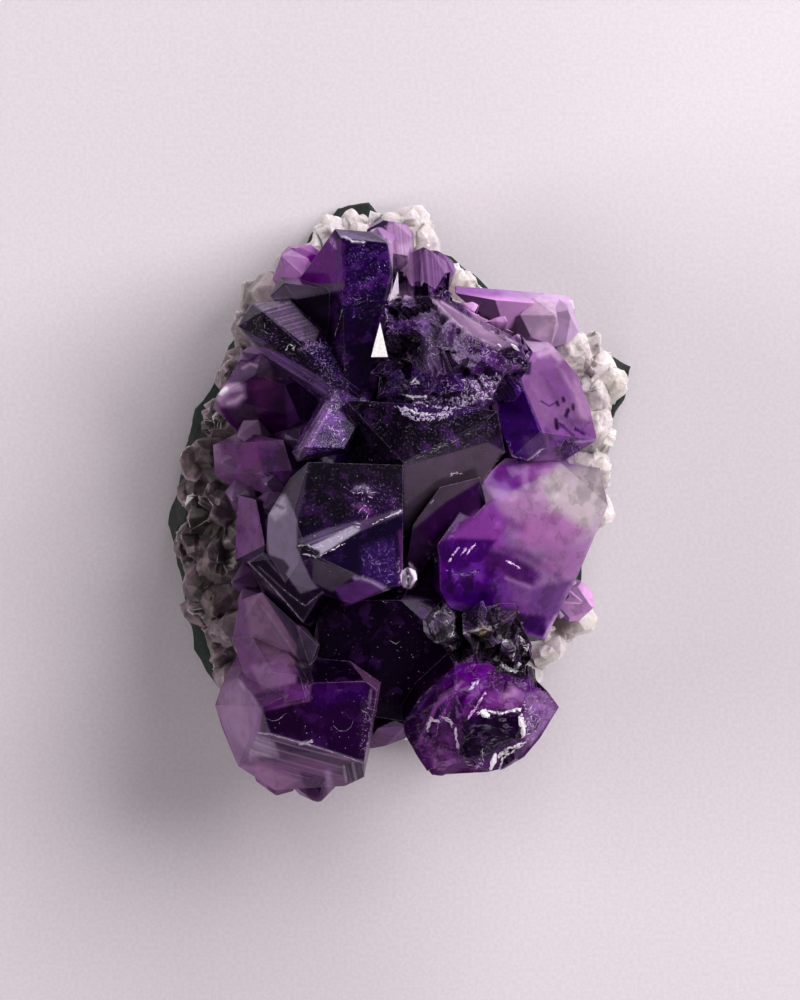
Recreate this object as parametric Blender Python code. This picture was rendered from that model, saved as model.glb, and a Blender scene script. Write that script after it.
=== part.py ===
# Amethyst cluster: three solids in one frame, metres, +Z up, standing on its flat underside.
# basalt_rind (host rock), milky_quartz_base (granular quartz) and amethyst_crystals (one
# intergrown solid). Sizes below are in millimetres and are turned into metres at the end.
import math
import random

import bmesh
import bpy
from mathutils import Matrix, Vector

MM = 0.001
GAP = 0.3                 # clearance between touching solids
EYE_HEIGHT = 424.0        # plan spots are noted as seen from this height
PLAN_LEVEL = 24.0         # height at which a plan spot is at true size
FACE_SLOPE = math.radians(51.8)   # quartz pyramid face, its normal measured from the c axis
MINOR_SETBACK = 0.08      # how much the three small pyramid faces are set back, as a share
SEED = 20261123

RIND_WALL = 3.2           # height of the rind's outer wall
RIND_ROUGH = 0.02         # how ragged its edge is, as a share of its reach
SEAM_LEVEL = 4.4          # where the rind meets the quartz
ROOF_LEVEL = 8.4          # top of the quartz layer at its rim
ROOF_RISE = 1.6           # how much its middle stands higher
BASE_ROOT = 2.5           # the quartz is modelled down to here, then trimmed along the seam
RIND_INSET = 0.925        # the quartz starts this far out, as a share of the rind's outline
ROOF_SHARE = 0.84         # where the top of the quartz layer starts to fall away
BROAD_SHARE = 1.9         # reach and depth of the plate that trims a solid from below
BROAD_DEPTH = 5.0
SEGMENTS = 60             # steps round each layer

# The rind's outline, anticlockwise from the right.
RIND_OUTLINE = [
    (19.8, 0.0), (20.4, 5.0), (21.4, 8.6), (22.8, 10.8), (23.4, 13.4), (21.8, 14.4), (19.4, 15.2),
    (16.0, 16.6), (11.5, 18.6), (8.0, 21.8), (5.5, 24.2), (0.8, 26.4), (-2.2, 28.6), (-3.6, 30.0),
    (-5.2, 30.4), (-6.4, 28.8), (-8.2, 26.6), (-11.0, 23.8), (-13.4, 20.6), (-15.8, 17.2),
    (-18.4, 12.6), (-20.2, 9.0), (-22.2, 3.2), (-22.8, -2.6), (-22.0, -7.8), (-20.6, -13.8),
    (-17.8, -19.4), (-13.4, -22.2), (-7.0, -23.4), (0.0, -23.4), (7.0, -22.0), (11.6, -18.4),
    (15.4, -13.8), (17.6, -8.6),
]

# The outline of the roots of the amethyst.
MAT_OUTLINE = [
    (19.0, 0.0), (18.6, 7.0), (16.5, 13.0), (13.0, 17.5), (5.0, 21.5), (0.0, 24.0), (-6.0, 25.0),
    (-10.5, 21.0), (-14.0, 15.5), (-16.6, 9.0), (-16.6, 2.0), (-15.5, -5.0), (-15.0, -12.0),
    (-15.5, -19.0), (-12.0, -24.0), (-5.0, -24.5), (0.0, -21.5), (6.0, -23.0), (11.5, -21.0),
    (14.0, -14.5), (17.5, -7.5),
]

# Large crystals with their own habit: bearing and rise of the long axis in degrees, length,
# taper of the root, then the corners of the tip and of the shoulder below it.
HEWN = {
    "crown": (95, 74, 20, 0.8,
              [(-5.9, 26.2, 31), (-1.2, 25.7, 30.6), (-6.5, 27.1, 30.5)],
              [(-10.2, 21.9, 22), (-5.5, 11.0, 25.1), (-2.4, 11.2, 24.9), (-0.7, 22.5, 29.2),
               (-0.7, 25.8, 28.5), (-2.8, 26.8, 28)]),
    "wedge": (175, 30, 10, 0.9,
              [(-11.6, 21.7, 24.6), (-5.5, 21.0, 27.4), (-10.5, 20.1, 25.6)],
              [(-13.0, 20.4, 22.5), (-12.1, 22.3, 21.5), (-9.8, 22.1, 22), (-9, 16, 22),
               (-6, 15.5, 24.5)]),
    "pointer": (139, 15, 13, 0.95,
                [(-16.2, 17.4, 25.5), (-14.9, 19.7, 25.3)],
                [(-13.8, 18.9, 29), (-11.0, 20.0, 25.6), (-14.4, 15.3, 24.0), (-13.4, 15.8, 26.8),
                 (-13.2, 17, 19)]),
    "prism": (242, 28, 10, 1.0,
              [(-10.3, 3.8, 25.5), (-9.4, 4.4, 28)],
              [(-10.8, 4.8, 26), (-9.6, 5.3, 29), (-5.6, 5.2, 27.8), (-5.2, 4.8, 24),
               (-9, 4.5, 21.5)]),
    "big_left": (175, 86, 22, 0.86,
                 [(-9.7, -4.1, 33.5), (-8.3, -5.6, 33.2), (-10.7, -1.2, 32.3), (-10.2, -6.3, 31.9)],
                 [(-9.2, 3.8, 30), (-11, 2.2, 27.2), (-13.2, -1.5, 27.1), (-13.4, -5, 25.9),
                  (-11.5, -8.3, 28.7), (-8.2, -9.0, 28.5), (-4.8, -10.4, 26.3), (-1.7, -8.8, 28.3),
                  (0.2, -8.5, 27.4), (0.3, -1.4, 30.65), (0.3, -0.6, 30.75), (0.3, 3.5, 28.9)]),
    "frame": (150, 50, 10, 0.8,
              [(-15.2, -6.2, 23), (-13.8, -5.1, 23), (-12.6, -5.8, 25), (-9.7, -12.2, 23.5),
               (-8, -9.2, 26)],
              [(-13.8, -9.2, 18.5), (-11.5, -11.8, 18.5), (-10.2, -12.6, 20)]),
    "pit": (200, 84, 14, 0.85,
            [(0.3, 3.8, 28), (8.7, 8, 28)],
            [(-5.5, 10, 27), (0, 9.3, 27.4), (7, 9.3, 27.8), (9.7, 8.9, 27.5), (10.5, 4.8, 25.1),
             (8, 2.2, 24.1), (0.5, -9, 18.4), (-4, 0, 22)]),
    "plum": (20, 75, 10, 0.8,
             [(4, 1.3, 25.6), (8, 2.3, 25.2), (1.3, -2.5, 25.1)],
             [(8.6, -0.3, 23.8), (5.5, -3, 23.6), (3.6, -5, 23.2), (1.4, -8.0, 21.5), (0.7, -6, 23)]),
    "big_right": (10, 75, 14, 0.85,
                  [(4, -5.8, 25.8), (19.2, -3.5, 16.2)],
                  [(3.7, -4.5, 25.9), (8.4, 2.2, 22.5), (10.5, 4.2, 21.0), (16, 3.8, 17.7),
                   (20, 3.2, 15.2), (20.8, -0.5, 15.0), (17.8, -7.5, 15.9), (14.5, -14, 16),
                   (12, -11.2, 18.6), (5, -10.8, 23.5), (4, -9, 24.7)]),
    "right_prism": (300, 60, 14, 0.7,
                    [(12, 12, 23), (14, 6.8, 24)],
                    [(13.3, 14.8, 20.3), (15.5, 15.2, 18.1), (17.7, 12.5, 17.6), (19, 9.2, 18.2),
                     (19.7, 6, 19.3), (16.5, 4, 18), (12.8, 3.9, 21), (11.2, 4.3, 22.7),
                     (9, 9.8, 21.7), (10, 11.5, 22.1)]),
    "rough": (80, 75, 16, 0.7,
              [(3.5, 20.4, 28.5), (8, 15.9, 28.5), (4.5, 14.8, 30.5), (1.5, 16.5, 29.5),
               (8, 12.2, 28), (1, 12, 29)],
              [(-1.5, 20, 26), (0, 20.4, 26.5), (4, 20.2, 27), (10, 15.1, 26.5), (12, 16, 25),
               (12.9, 13.4, 24), (12, 11.9, 24), (8, 9.4, 24.5), (5, 8.4, 24.5), (2, 7.9, 24.5),
               (0.3, 8.5, 25), (-2.2, 10.5, 26), (-1.6, 17, 26.5)]),
    "low_pit": (270, 78, 15, 0.8,
                [(-2.8, -14, 24), (0, -10, 24.5), (2.5, -12.2, 24)],
                [(-8.2, -11.8, 22.5), (-9.2, -16.5, 22), (-8.4, -18.4, 21.5), (-3.5, -19, 22),
                 (-2.5, -21.7, 20.5), (0.8, -22.2, 20), (2.5, -20, 20.5), (6, -16.8, 21.5),
                 (4.5, -14.2, 22.5), (4, -10, 22.5), (-7, -10, 23)]),
    "crumb_a": (200, 70, 8, 0.8,
                [(3.0, -11.5, 25), (4.5, -12.5, 25.5)],
                [(2.0, -12.2, 23.5), (2.8, -13.8, 23), (4.5, -14.2, 23), (5.8, -12, 23),
                 (5.9, -10.8, 22.5), (4.2, -10, 23)]),
    "crumb_b": (270, 75, 8, 0.8,
                [(6.3, -13.4, 25), (9.6, -12.6, 25.5)],
                [(6.2, -11.5, 23), (10, -11, 23), (11.8, -11.2, 23), (10.5, -13.8, 23.5),
                 (8.8, -16, 22.5), (7.5, -15.2, 23)]),
    "crumb_c": (320, 70, 8, 0.8,
                [(11.5, -13.8, 25), (12, -15.4, 25)],
                [(10.3, -13.8, 23), (12, -12.2, 22.5), (13.2, -14.5, 22), (13, -16, 22),
                 (12, -17.2, 22), (10, -16.8, 22.5), (9.5, -15.5, 23)]),
    "chunk": (300, 60, 20, 0.6,
              [(6.5, -21.7, 29), (12, -21.5, 28.5), (12, -23.5, 28), (9, -25, 27.5), (5.5, -19, 28.5),
               (9, -17.8, 27)],
              [(5.5, -16.6, 25.5), (8.2, -16.2, 25), (12.7, -18, 25), (14.8, -19.2, 24),
               (15.9, -20.7, 23.5), (14.5, -21.8, 24.5), (14, -23.8, 24), (12.4, -25.7, 24),
               (10.5, -26.8, 24), (8.7, -27.2, 24), (3.2, -27.5, 23), (1.8, -25.7, 23.5),
               (0.5, -23.5, 23.5), (0.4, -22.2, 23.5), (2, -19.7, 24.5)]),
    "foot": (250, 50, 18, 0.85,
             [(-13.8, -20.7, 27.2), (-8.6, -18.3, 27.0), (-3.5, -18.1, 26.6), (-2.2, -19, 26.4),
              (-3.6, -26.1, 25.8), (-13, -23.3, 26.9)],
             [(-16.2, -17.8, 20), (-17.8, -18.5, 17), (-18.5, -20.5, 15.5), (-17.8, -22.8, 15.5),
              (-16.2, -26.6, 17), (-12.5, -29, 17.5), (-5.5, -28.6, 20), (-3.6, -27.7, 22)]),
    "lilac": (300, 60, 8, 0.8,
              [(-12.8, -17.2, 25.5), (-10, -17.6, 27), (-9.4, -19.8, 27.6), (-11.4, -20.2, 27.2)],
              [(-15.7, -17.2, 20), (-13.8, -16.2, 22), (-10, -16.8, 24), (-8.7, -18.5, 26),
               (-13.5, -20.7, 23)]),
    "left_low": (190, 60, 10, 0.8,
                 [(-10.4, -12.4, 23), (-9, -16.6, 23.5), (-8.2, -14.5, 23)],
                 [(-13.8, -9.2, 20), (-16, -10, 15), (-16.8, -14, 14), (-15.5, -16.8, 15),
                  (-11.5, -18, 20), (-9.7, -17.3, 22)]),
    "left_mid": (170, 50, 9, 0.8,
                 [(-11.7, 6, 20), (-10.8, 3, 20.5)],
                 [(-18.7, 5.5, 12), (-18.5, 2.5, 11), (-16, 0.8, 12), (-11.5, 1, 17), (-10, 4.5, 19),
                  (-16, 6.8, 14)]),
    "left_strip": (190, 60, 9, 0.8,
                   [(-14.4, 0, 19), (-13.5, -4.5, 19.5)],
                   [(-16.2, 0.5, 15), (-16.5, -6, 13), (-13.8, -6.8, 16), (-12.5, -2, 18)]),
    "maroon": (170, 40, 9, 0.8,
               [(-18.2, 10.5, 17), (-14.5, 12.5, 19), (-11.5, 11.5, 20)],
               [(-18.7, 9.2, 14), (-16, 14, 15), (-13.8, 14.8, 16), (-10, 12, 19), (-10, 8, 18),
                (-12, 6.4, 15), (-15.5, 6.2, 13)]),
    "rose": (180, 50, 8, 0.8,
             [(5.5, 20.7, 17), (9.5, 20, 18.5), (13, 19.7, 17)],
             [(5.5, 21.4, 14), (10, 21, 15), (14.5, 20.7, 13), (15.5, 19, 12), (13, 18.2, 15),
              (10.5, 17, 16), (8, 18.5, 16)]),
    "slant": (140, 30, 8, 0.9,
              [(4.2, 19.9, 22), (5.6, 19.5, 21), (9, 17.6, 20), (12.2, 16.4, 20)],
              [(4.5, 17.5, 20), (8, 15.8, 20), (11, 14.6, 19), (12.6, 14.8, 19)]),
    "notch": (265, 55, 12, 0.8,
              [(-2.2, -22.8, 19), (-0.5, -22.0, 19.5), (0.5, -22.5, 19)],
              [(-3.8, -25, 15), (-1.5, -24.6, 16), (0.6, -23.8, 16), (-3.4, -22, 15)]),
    "splinter": (95, 80, 6, 0.9,
                 [(-1.9, 17.8, 30.2)],
                 [(-2.8, 14.3, 28.2), (-1.3, 14.3, 28.2), (-2.0, 14.6, 27)]),
}

# Regular crystals: tip, bearing and rise of the long axis, width across the flats, length, twist.
REGULAR = {
    "pink_top": ((-10.5, 25.2, 14), 110, 60, 3.8, 10, 10),
    "striated_a": ((-1.2, 27.9, 20), 92, 55, 4.6, 12, 15),
    "striated_b": ((2.6, 25.2, 19), 85, 45, 4.6, 12, 0),
    "striated_c": ((4.0, 24.8, 15), 70, 50, 4.0, 10, 20),
    "pale_blob": ((16.8, 19.0, 14), 40, 60, 5.4, 9, 0),
    "pale_blob_b": ((14.2, 18.6, 14), 80, 60, 3.6, 9, 20),
    "pink_right": ((19.3, -10.8, 13), -20, 45, 3.8, 9, 0),
    "foot_tip": ((-8.2, -30.2, 17), -80, 40, 4.2, 12, 10),
    "foot_side": ((-12.6, -29.4, 14), -100, 50, 4.5, 10, 0),
    "speck": ((1.0, -7.4, 27.5), 60, 75, 1.6, 8, 10),
}

# Pale crystals of the quartz layer that stand clear of the amethyst, in the same terms.
RIM = [
    ((-19.8, 4.2, 11.0), 168, 62, 5.0, 7, 10),
    ((-20.9, 0.4, 9.6), 180, 55, 4.2, 6, 40),
    ((-18.9, -1.6, 11.8), 180, 72, 4.8, 7, 0),
    ((-20.9, -4.6, 10.2), 188, 55, 4.8, 6, 25),
    ((-18.4, -6.2, 12.2), 170, 78, 5.0, 8, 15),
    ((-20.9, -8.4, 9.4), 198, 55, 4.4, 6, 5),
    ((-18.8, -10.6, 11.6), 200, 66, 5.2, 7, 30),
    ((-17.4, -13.4, 12.4), 205, 74, 4.2, 8, 12),
    ((-18.6, -15.4, 9.8), 215, 55, 4.6, 6, 0),
    ((-16.8, -18.6, 9.8), 222, 55, 4.4, 6, 20),
    ((-18.8, 8.4, 10.4), 160, 58, 4.6, 6, 18),
    ((-17.4, 13.2, 10.8), 152, 58, 4.6, 6, 8),
    ((-15.4, 17.8, 10.2), 145, 58, 4.6, 6, 28),
    ((-14.6, 20.8, 9.6), 135, 52, 4.2, 6, 0),
    ((-10.6, 24.6, 9.4), 122, 52, 4.2, 6, 44),
    ((-9.0, 25.9, 9.2), 120, 54, 4.2, 6, 30),
    ((-6.8, 27.2, 9.6), 112, 54, 4.4, 6, 12),
    ((-4.2, 27.4, 9.8), 100, 58, 4.4, 6, 15),
    ((0.4, 28.4, 10.8), 88, 56, 4.6, 8, 33),
    ((2.6, 27.2, 9.8), 70, 50, 4.2, 8, 5),
    ((6.4, 22.4, 9.2), 55, 58, 4.2, 6, 10),
    ((18.0, 15.4, 11.8), 50, 66, 5.0, 8, 0),
    ((21.2, 13.8, 9.8), 30, 48, 4.6, 7, 22),
    ((20.0, 11.2, 11.4), 10, 64, 5.2, 8, 40),
    ((20.6, 7.4, 10.6), 5, 60, 4.8, 7, 12),
    ((20.6, 3.0, 10.2), 0, 56, 4.8, 7, 30),
    ((20.2, -1.8, 10.0), -10, 55, 4.4, 6, 8),
    ((18.2, -12.8, 10.0), -38, 52, 4.8, 7, 6),
    ((15.6, -15.2, 10.0), -45, 54, 4.8, 7, 26),
    ((12.6, -19.0, 9.4), -55, 50, 4.4, 6, 46),
    ((8.4, -22.4, 9.4), -65, 52, 4.6, 6, 14),
    ((3.0, -23.6, 9.4), -80, 52, 4.6, 6, 34),
    ((-3.0, -23.9, 9.6), -92, 54, 4.8, 6, 0),
    ((-9.0, -23.2, 9.6), -110, 52, 4.6, 6, 19),
    ((-13.8, -20.9, 9.4), -125, 50, 4.4, 6, 9),
]

OVERHUNG = (215, 325)     # bearings where large crystals lean out over the flank
WALL_CRYSTALS = 26        # small pale crystals on the outer wall of the quartz layer
SIDE_CRYSTALS = 30        # outward crystals round the cluster's flank
FILL_CRYSTALS = 26        # short crystals that close the gaps on the crown


def clear_scene():
    for existing in list(bpy.data.objects):
        bpy.data.objects.remove(existing, do_unlink=True)


# A plan spot drawn in towards the centre by its height, as an overhead eye sees it.
def spot(x, y, z):
    nearness = (EYE_HEIGHT - z) / (EYE_HEIGHT - PLAN_LEVEL)
    return Vector((x * nearness, y * nearness, z))


def axis_of(bearing, rise):
    flat = math.cos(math.radians(rise))
    turn = math.radians(bearing)
    return Vector((math.cos(turn) * flat, math.sin(turn) * flat, math.sin(math.radians(rise))))


def as_object(name, bm, collection):
    bmesh.ops.recalc_face_normals(bm, faces=bm.faces)
    mesh = bpy.data.meshes.new(name)
    bm.to_mesh(mesh)
    bm.free()
    placed = bpy.data.objects.new(name, mesh)
    collection.objects.link(placed)
    return placed


# The hull of a tip, its shoulder, and the shoulder slid down the long axis; "grow" fattens it.
def hewn_crystal(name, habit, collection, grow=0.0):
    bearing, rise, length, taper, tip, shoulder = habit
    axis = axis_of(bearing, rise)
    ring = [spot(*corner) for corner in shoulder]
    middle = sum(ring, Vector()) / len(ring)
    root = [middle + (corner - middle) * taper - axis * length for corner in ring]
    corners = [spot(*corner) for corner in tip] + ring + root
    centre = sum(corners, Vector()) / len(corners)
    bm = bmesh.new()
    for corner in corners:
        bm.verts.new(corner + (corner - centre).normalized() * grow)
    hull = bmesh.ops.convex_hull(bm, input=bm.verts)
    spare = {item for item in hull["geom_interior"] + hull["geom_unused"]
             if isinstance(item, bmesh.types.BMVert)}
    bmesh.ops.delete(bm, geom=list(spare), context="VERTS")
    return as_object(name, bm, collection)


# A six-sided prism, its upper end cut by three large and three small pyramid faces.
def regular_crystal(name, habit, collection, grow=0.0):
    tip, bearing, rise, width, length, twist = habit
    radius = width / 2 + grow
    pyramid = radius * math.tan(FACE_SLOPE)
    bm = bmesh.new()
    bmesh.ops.create_cone(bm, cap_ends=True, segments=6, radius1=radius / math.cos(math.pi / 6),
                          radius2=radius / math.cos(math.pi / 6), depth=length + 2 * grow)
    bmesh.ops.translate(bm, verts=bm.verts, vec=(0, 0, -length / 2))
    bmesh.ops.rotate(bm, verts=bm.verts, cent=(0, 0, 0),
                     matrix=Matrix.Rotation(math.radians(30), 3, "Z"))
    for side in range(6):
        turn = math.radians(60 * side)
        facing = Vector((math.cos(turn) * math.sin(FACE_SLOPE), math.sin(turn) * math.sin(FACE_SLOPE),
                         math.cos(FACE_SLOPE)))
        setback = grow if side % 2 == 0 else grow + pyramid * MINOR_SETBACK
        cut = bmesh.ops.bisect_plane(bm, geom=bm.verts[:] + bm.edges[:] + bm.faces[:],
                                     plane_co=facing * setback, plane_no=facing, clear_outer=True)
        edges = [item for item in cut["geom_cut"] if isinstance(item, bmesh.types.BMEdge)]
        if edges:
            bmesh.ops.edgenet_fill(bm, edges=edges)
    axis = axis_of(bearing, rise)
    turned = axis.to_track_quat("Z", "Y").to_matrix() @ Matrix.Rotation(math.radians(twist), 3, "Z")
    bmesh.ops.rotate(bm, verts=bm.verts, cent=(0, 0, 0), matrix=turned)
    bmesh.ops.translate(bm, verts=bm.verts, vec=spot(*tip))
    bmesh.ops.triangulate(bm, faces=bm.faces)
    return as_object(name, bm, collection)


# Distance from the centre to an outline in a given direction.
def reach(outline, turn):
    ray = Vector((math.cos(turn), math.sin(turn)))
    for index, start in enumerate(outline):
        end = outline[(index + 1) % len(outline)]
        edge = Vector(end) - Vector(start)
        across = ray.x * edge.y - ray.y * edge.x
        if abs(across) < 1e-9:
            continue
        along = (start[0] * edge.y - start[1] * edge.x) / across
        share = (start[0] * ray.y - start[1] * ray.x) / across
        if along > 0 and -1e-6 <= share <= 1 + 1e-6:
            return along
    return 0.0


# Gentle waves that keep a broken edge and a growth surface from being even.
def wave(turn, phase):
    return (math.sin(3 * turn + phase) + 0.6 * math.sin(7 * turn + 2.1 * phase)
            + 0.4 * math.sin(13 * turn + 0.7 * phase)) / 2


def seam(turn, share):
    return SEAM_LEVEL + 0.7 * share * wave(turn, 1.3)


def roof(turn, share):
    return ROOF_LEVEL + ROOF_RISE * (1 - share * share) + 0.5 * share * wave(turn, 4.0)


# A ball whose rings are moved to the given shares of an outline and heights; heights may be
# functions of the turn and the share. The first and last entries are the poles.
def layer(name, outline, rings, collection, rough=0.0):
    chance = random.Random(name)
    bm = bmesh.new()
    bmesh.ops.create_uvsphere(bm, u_segments=SEGMENTS, v_segments=len(rings) - 1, radius=1.0)
    for vert in bm.verts:
        row = round((math.acos(max(-1.0, min(1.0, -vert.co.z)))) / math.pi * (len(rings) - 1))
        share, height = rings[row]
        turn = math.atan2(vert.co.y, vert.co.x) if share else 0.0
        ragged = 1 + rough * chance.uniform(-1, 1) if share > RIND_INSET else 1.0
        distance = reach(outline, turn) * share * ragged
        level = height(turn, share) if callable(height) else height
        vert.co = spot(distance * math.cos(turn), distance * math.sin(turn), level)
    bmesh.ops.triangulate(bm, faces=bm.faces)
    return as_object(name, bm, collection)


# A broad plate with a given top surface that runs on level past the outline's last share.
def below(surface, last_share, collection):
    edge = lambda turn, share: surface(turn, last_share)
    rings = [(0, -BROAD_DEPTH), (BROAD_SHARE, -BROAD_DEPTH), (BROAD_SHARE, edge), (last_share, surface),
             (0.5, surface), (0, surface)]
    return layer("below", RIND_OUTLINE, rings, collection)


def lifted(surface, amount):
    return lambda turn, share: surface(turn, share) + amount


# The target joined with, or cut by, all the pieces in one step; the pieces are used up.
def boolean(target, pieces, operation):
    others = bpy.data.collections.new("others")
    bpy.context.scene.collection.children.link(others)
    for piece in pieces:
        others.objects.link(piece)
    step = target.modifiers.new(operation.lower(), "BOOLEAN")
    step.operation = operation
    step.solver = "EXACT"
    step.operand_type = "COLLECTION"
    step.collection = others
    bpy.context.view_layer.update()
    shaped = bpy.data.meshes.new_from_object(target.evaluated_get(bpy.context.evaluated_depsgraph_get()))
    target.modifiers.clear()
    target.data = shaped
    for piece in pieces:
        bpy.data.objects.remove(piece, do_unlink=True)
    bpy.data.collections.remove(others)


def merged(name, pieces):
    whole = pieces[0]
    whole.name = name
    boolean(whole, pieces[1:], "UNION")
    return whole


# Small pale crystals that stand out of the quartz layer's wall, below its roof.
def wall_crystals():
    chance = random.Random(SEED + 1)
    habits = []
    for index in range(WALL_CRYSTALS):
        turn = 2 * math.pi * (index + chance.uniform(-0.3, 0.3)) / WALL_CRYSTALS
        distance = reach(RIND_OUTLINE, turn) * chance.uniform(0.95, 0.99)
        tip = (distance * math.cos(turn), distance * math.sin(turn), chance.uniform(6.2, 7.4))
        habits.append((tip, math.degrees(turn) + chance.uniform(-12, 12), chance.uniform(5, 28),
                       chance.uniform(2.4, 3.4), 5, chance.uniform(0, 60)))
    return habits


# Outward crystals round the flank and short ones on the crown, at seeded spots.
def seeded_crystals():
    chance = random.Random(SEED)
    habits = []
    for index in range(SIDE_CRYSTALS):
        turn = 2 * math.pi * (index + chance.uniform(-0.25, 0.25)) / SIDE_CRYSTALS
        distance = reach(MAT_OUTLINE, turn) * chance.uniform(0.88, 0.98)
        under = OVERHUNG[0] < math.degrees(turn) < OVERHUNG[1]
        height = chance.uniform(11.5, 12.5) if under else chance.uniform(12.5, 16.0)
        tip = (distance * math.cos(turn), distance * math.sin(turn), height)
        habits.append((tip, math.degrees(turn) + chance.uniform(-15, 15), chance.uniform(35, 60),
                       chance.uniform(3.2, 5.0), 9, chance.uniform(0, 60)))
    for index in range(FILL_CRYSTALS):
        turn = chance.uniform(0, 2 * math.pi)
        share = math.sqrt(chance.uniform(0.05, 0.75))
        distance = reach(MAT_OUTLINE, turn) * share
        tip = (distance * math.cos(turn), distance * math.sin(turn), 21.5 - 6 * share * share)
        habits.append((tip, math.degrees(turn) + chance.uniform(-40, 40), chance.uniform(55, 85),
                       chance.uniform(2.6, 4.2), 7, chance.uniform(0, 60)))
    return habits


def build_rind(collection):
    rings = [(0, 0.0), (0.94, 0.0), (0.985, 0.9), (1.0, RIND_WALL * 0.55), (0.985, RIND_WALL),
             (0.955, RIND_WALL + 0.7), (RIND_INSET, seam), (0.5, seam), (0, seam)]
    return layer("basalt_rind", RIND_OUTLINE, rings, collection, rough=RIND_ROUGH)


def build_base(collection):
    rings = [(0, BASE_ROOT), (0.91, BASE_ROOT), (0.92, lifted(seam, 1.6)), (0.9, lifted(seam, 3.0)),
             (ROOF_SHARE, roof), (0.5, roof), (0, roof)]
    pieces = [layer("mound", RIND_OUTLINE, rings, collection)]
    habits = RIM + wall_crystals()
    pieces += [regular_crystal("pale", habit, collection) for habit in habits]
    base = merged("milky_quartz_base", pieces)
    boolean(base, [below(lifted(seam, GAP), RIND_INSET, collection)], "DIFFERENCE")
    return base


def build_amethyst(collection):
    mat_rings = [(0, 6.0), (0.5, 6.0), (0.86, 7.0), (0.93, 10.5), (0.88, 13.0), (0.7, 16.0),
                 (0.4, 19.0), (0, 20.5)]
    pieces = [layer("mat", MAT_OUTLINE, mat_rings, collection)]
    pieces += [hewn_crystal(name, habit, collection) for name, habit in HEWN.items()]
    pieces += [regular_crystal(name, habit, collection) for name, habit in REGULAR.items()]
    pieces += [regular_crystal("seeded", habit, collection) for habit in seeded_crystals()]
    cluster = merged("amethyst_crystals", pieces)
    cutters = [below(lifted(roof, GAP), ROOF_SHARE, collection)]
    cutters += [regular_crystal("room", habit, collection, grow=GAP * 1.2) for habit in RIM]
    boolean(cluster, cutters, "DIFFERENCE")
    return cluster


def finish(node, colour, roughness, shift):
    material = bpy.data.materials.new(node.name)
    material.use_nodes = True
    shader = material.node_tree.nodes["Principled BSDF"]
    shader.inputs["Base Color"].default_value = (*colour, 1.0)
    shader.inputs["Roughness"].default_value = roughness
    shader.inputs["Metallic"].default_value = 0.0
    node.data.materials.clear()
    node.data.materials.append(material)
    for polygon in node.data.polygons:
        polygon.material_index = 0
    node.data.transform(Matrix.Scale(MM, 4) @ Matrix.Translation(shift))
    node.data.update()


def main():
    clear_scene()
    collection = bpy.data.collections.new("amethyst_cluster")
    bpy.context.scene.collection.children.link(collection)
    nodes = [build_rind(collection), build_base(collection), build_amethyst(collection)]
    corners = [vert.co for node in nodes for vert in node.data.vertices]
    middle_x = (min(co.x for co in corners) + max(co.x for co in corners)) / 2
    middle_y = (min(co.y for co in corners) + max(co.y for co in corners)) / 2
    shift = Vector((-middle_x, -middle_y, 0.0))
    finish(nodes[0], (0.045, 0.06, 0.05), 0.85, shift)
    finish(nodes[1], (0.55, 0.5, 0.54), 0.5, shift)
    finish(nodes[2], (0.13, 0.03, 0.25), 0.08, shift)


main()
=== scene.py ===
import math

import bmesh
import bpy
import numpy as np
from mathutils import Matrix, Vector
from mathutils.bvhtree import BVHTree


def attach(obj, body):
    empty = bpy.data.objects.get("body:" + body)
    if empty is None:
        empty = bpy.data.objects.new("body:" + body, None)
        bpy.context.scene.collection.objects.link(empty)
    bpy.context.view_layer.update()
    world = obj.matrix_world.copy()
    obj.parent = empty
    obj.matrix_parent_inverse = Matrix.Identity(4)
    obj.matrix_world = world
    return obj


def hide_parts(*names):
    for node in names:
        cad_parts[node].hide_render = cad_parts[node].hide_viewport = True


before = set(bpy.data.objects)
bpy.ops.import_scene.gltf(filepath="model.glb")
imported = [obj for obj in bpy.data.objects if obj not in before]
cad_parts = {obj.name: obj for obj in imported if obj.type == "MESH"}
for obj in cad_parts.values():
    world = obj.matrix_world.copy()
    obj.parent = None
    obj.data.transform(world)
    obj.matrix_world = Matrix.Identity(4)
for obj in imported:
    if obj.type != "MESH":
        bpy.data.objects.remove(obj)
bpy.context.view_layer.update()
mm = 0.001
print("frame loaded:", sorted(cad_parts))

# the view straight down on the cluster, +Y up; lengths are in mm, and one step of the view is
# 0.1 mm at planLevel. highestTip is the plan spot of the tallest crystal's tip.
view = {"eyeHeight": 424.0, "planLevel": 24.0, "step": 0.1, "middle": (400, 500),
        "highestTip": (-9.7, -4.1, 33.5), "lens": 144.0, "sensor": 36.0, "nearest": 0.01}


# plan spots are true at planLevel and draw in towards the centre with height
def spot(x, y, z):
    nearness = (view["eyeHeight"] - z) / (view["eyeHeight"] - view["planLevel"])
    return np.array([x * nearness, y * nearness, z])


def readArray(items, name, width, kind=np.float32):
    values = np.zeros(len(items) * width, kind)
    items.foreach_get(name, values)
    return values.reshape(-1, width).astype(float) if width > 1 else values


# the plan's zero in the part's frame, from where the tallest tip stands
def planOrigin():
    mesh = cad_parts["amethyst_crystals"].data
    corners = readArray(mesh.vertices, "co", 3) / mm
    return (corners[corners[:, 2].argmax()] - spot(*view["highestTip"])) * np.array([1, 1, 0])


origin = planOrigin()
eye = origin + np.array([0, 0, view["eyeHeight"]])


# the ray from the eye through a point of the view
def sightLine(across, down):
    aim = origin + np.array([(across - view["middle"][0]) * view["step"],
                             (view["middle"][1] - down) * view["step"], view["planLevel"]])
    return eye, (aim - eye) / np.linalg.norm(aim - eye)


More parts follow.
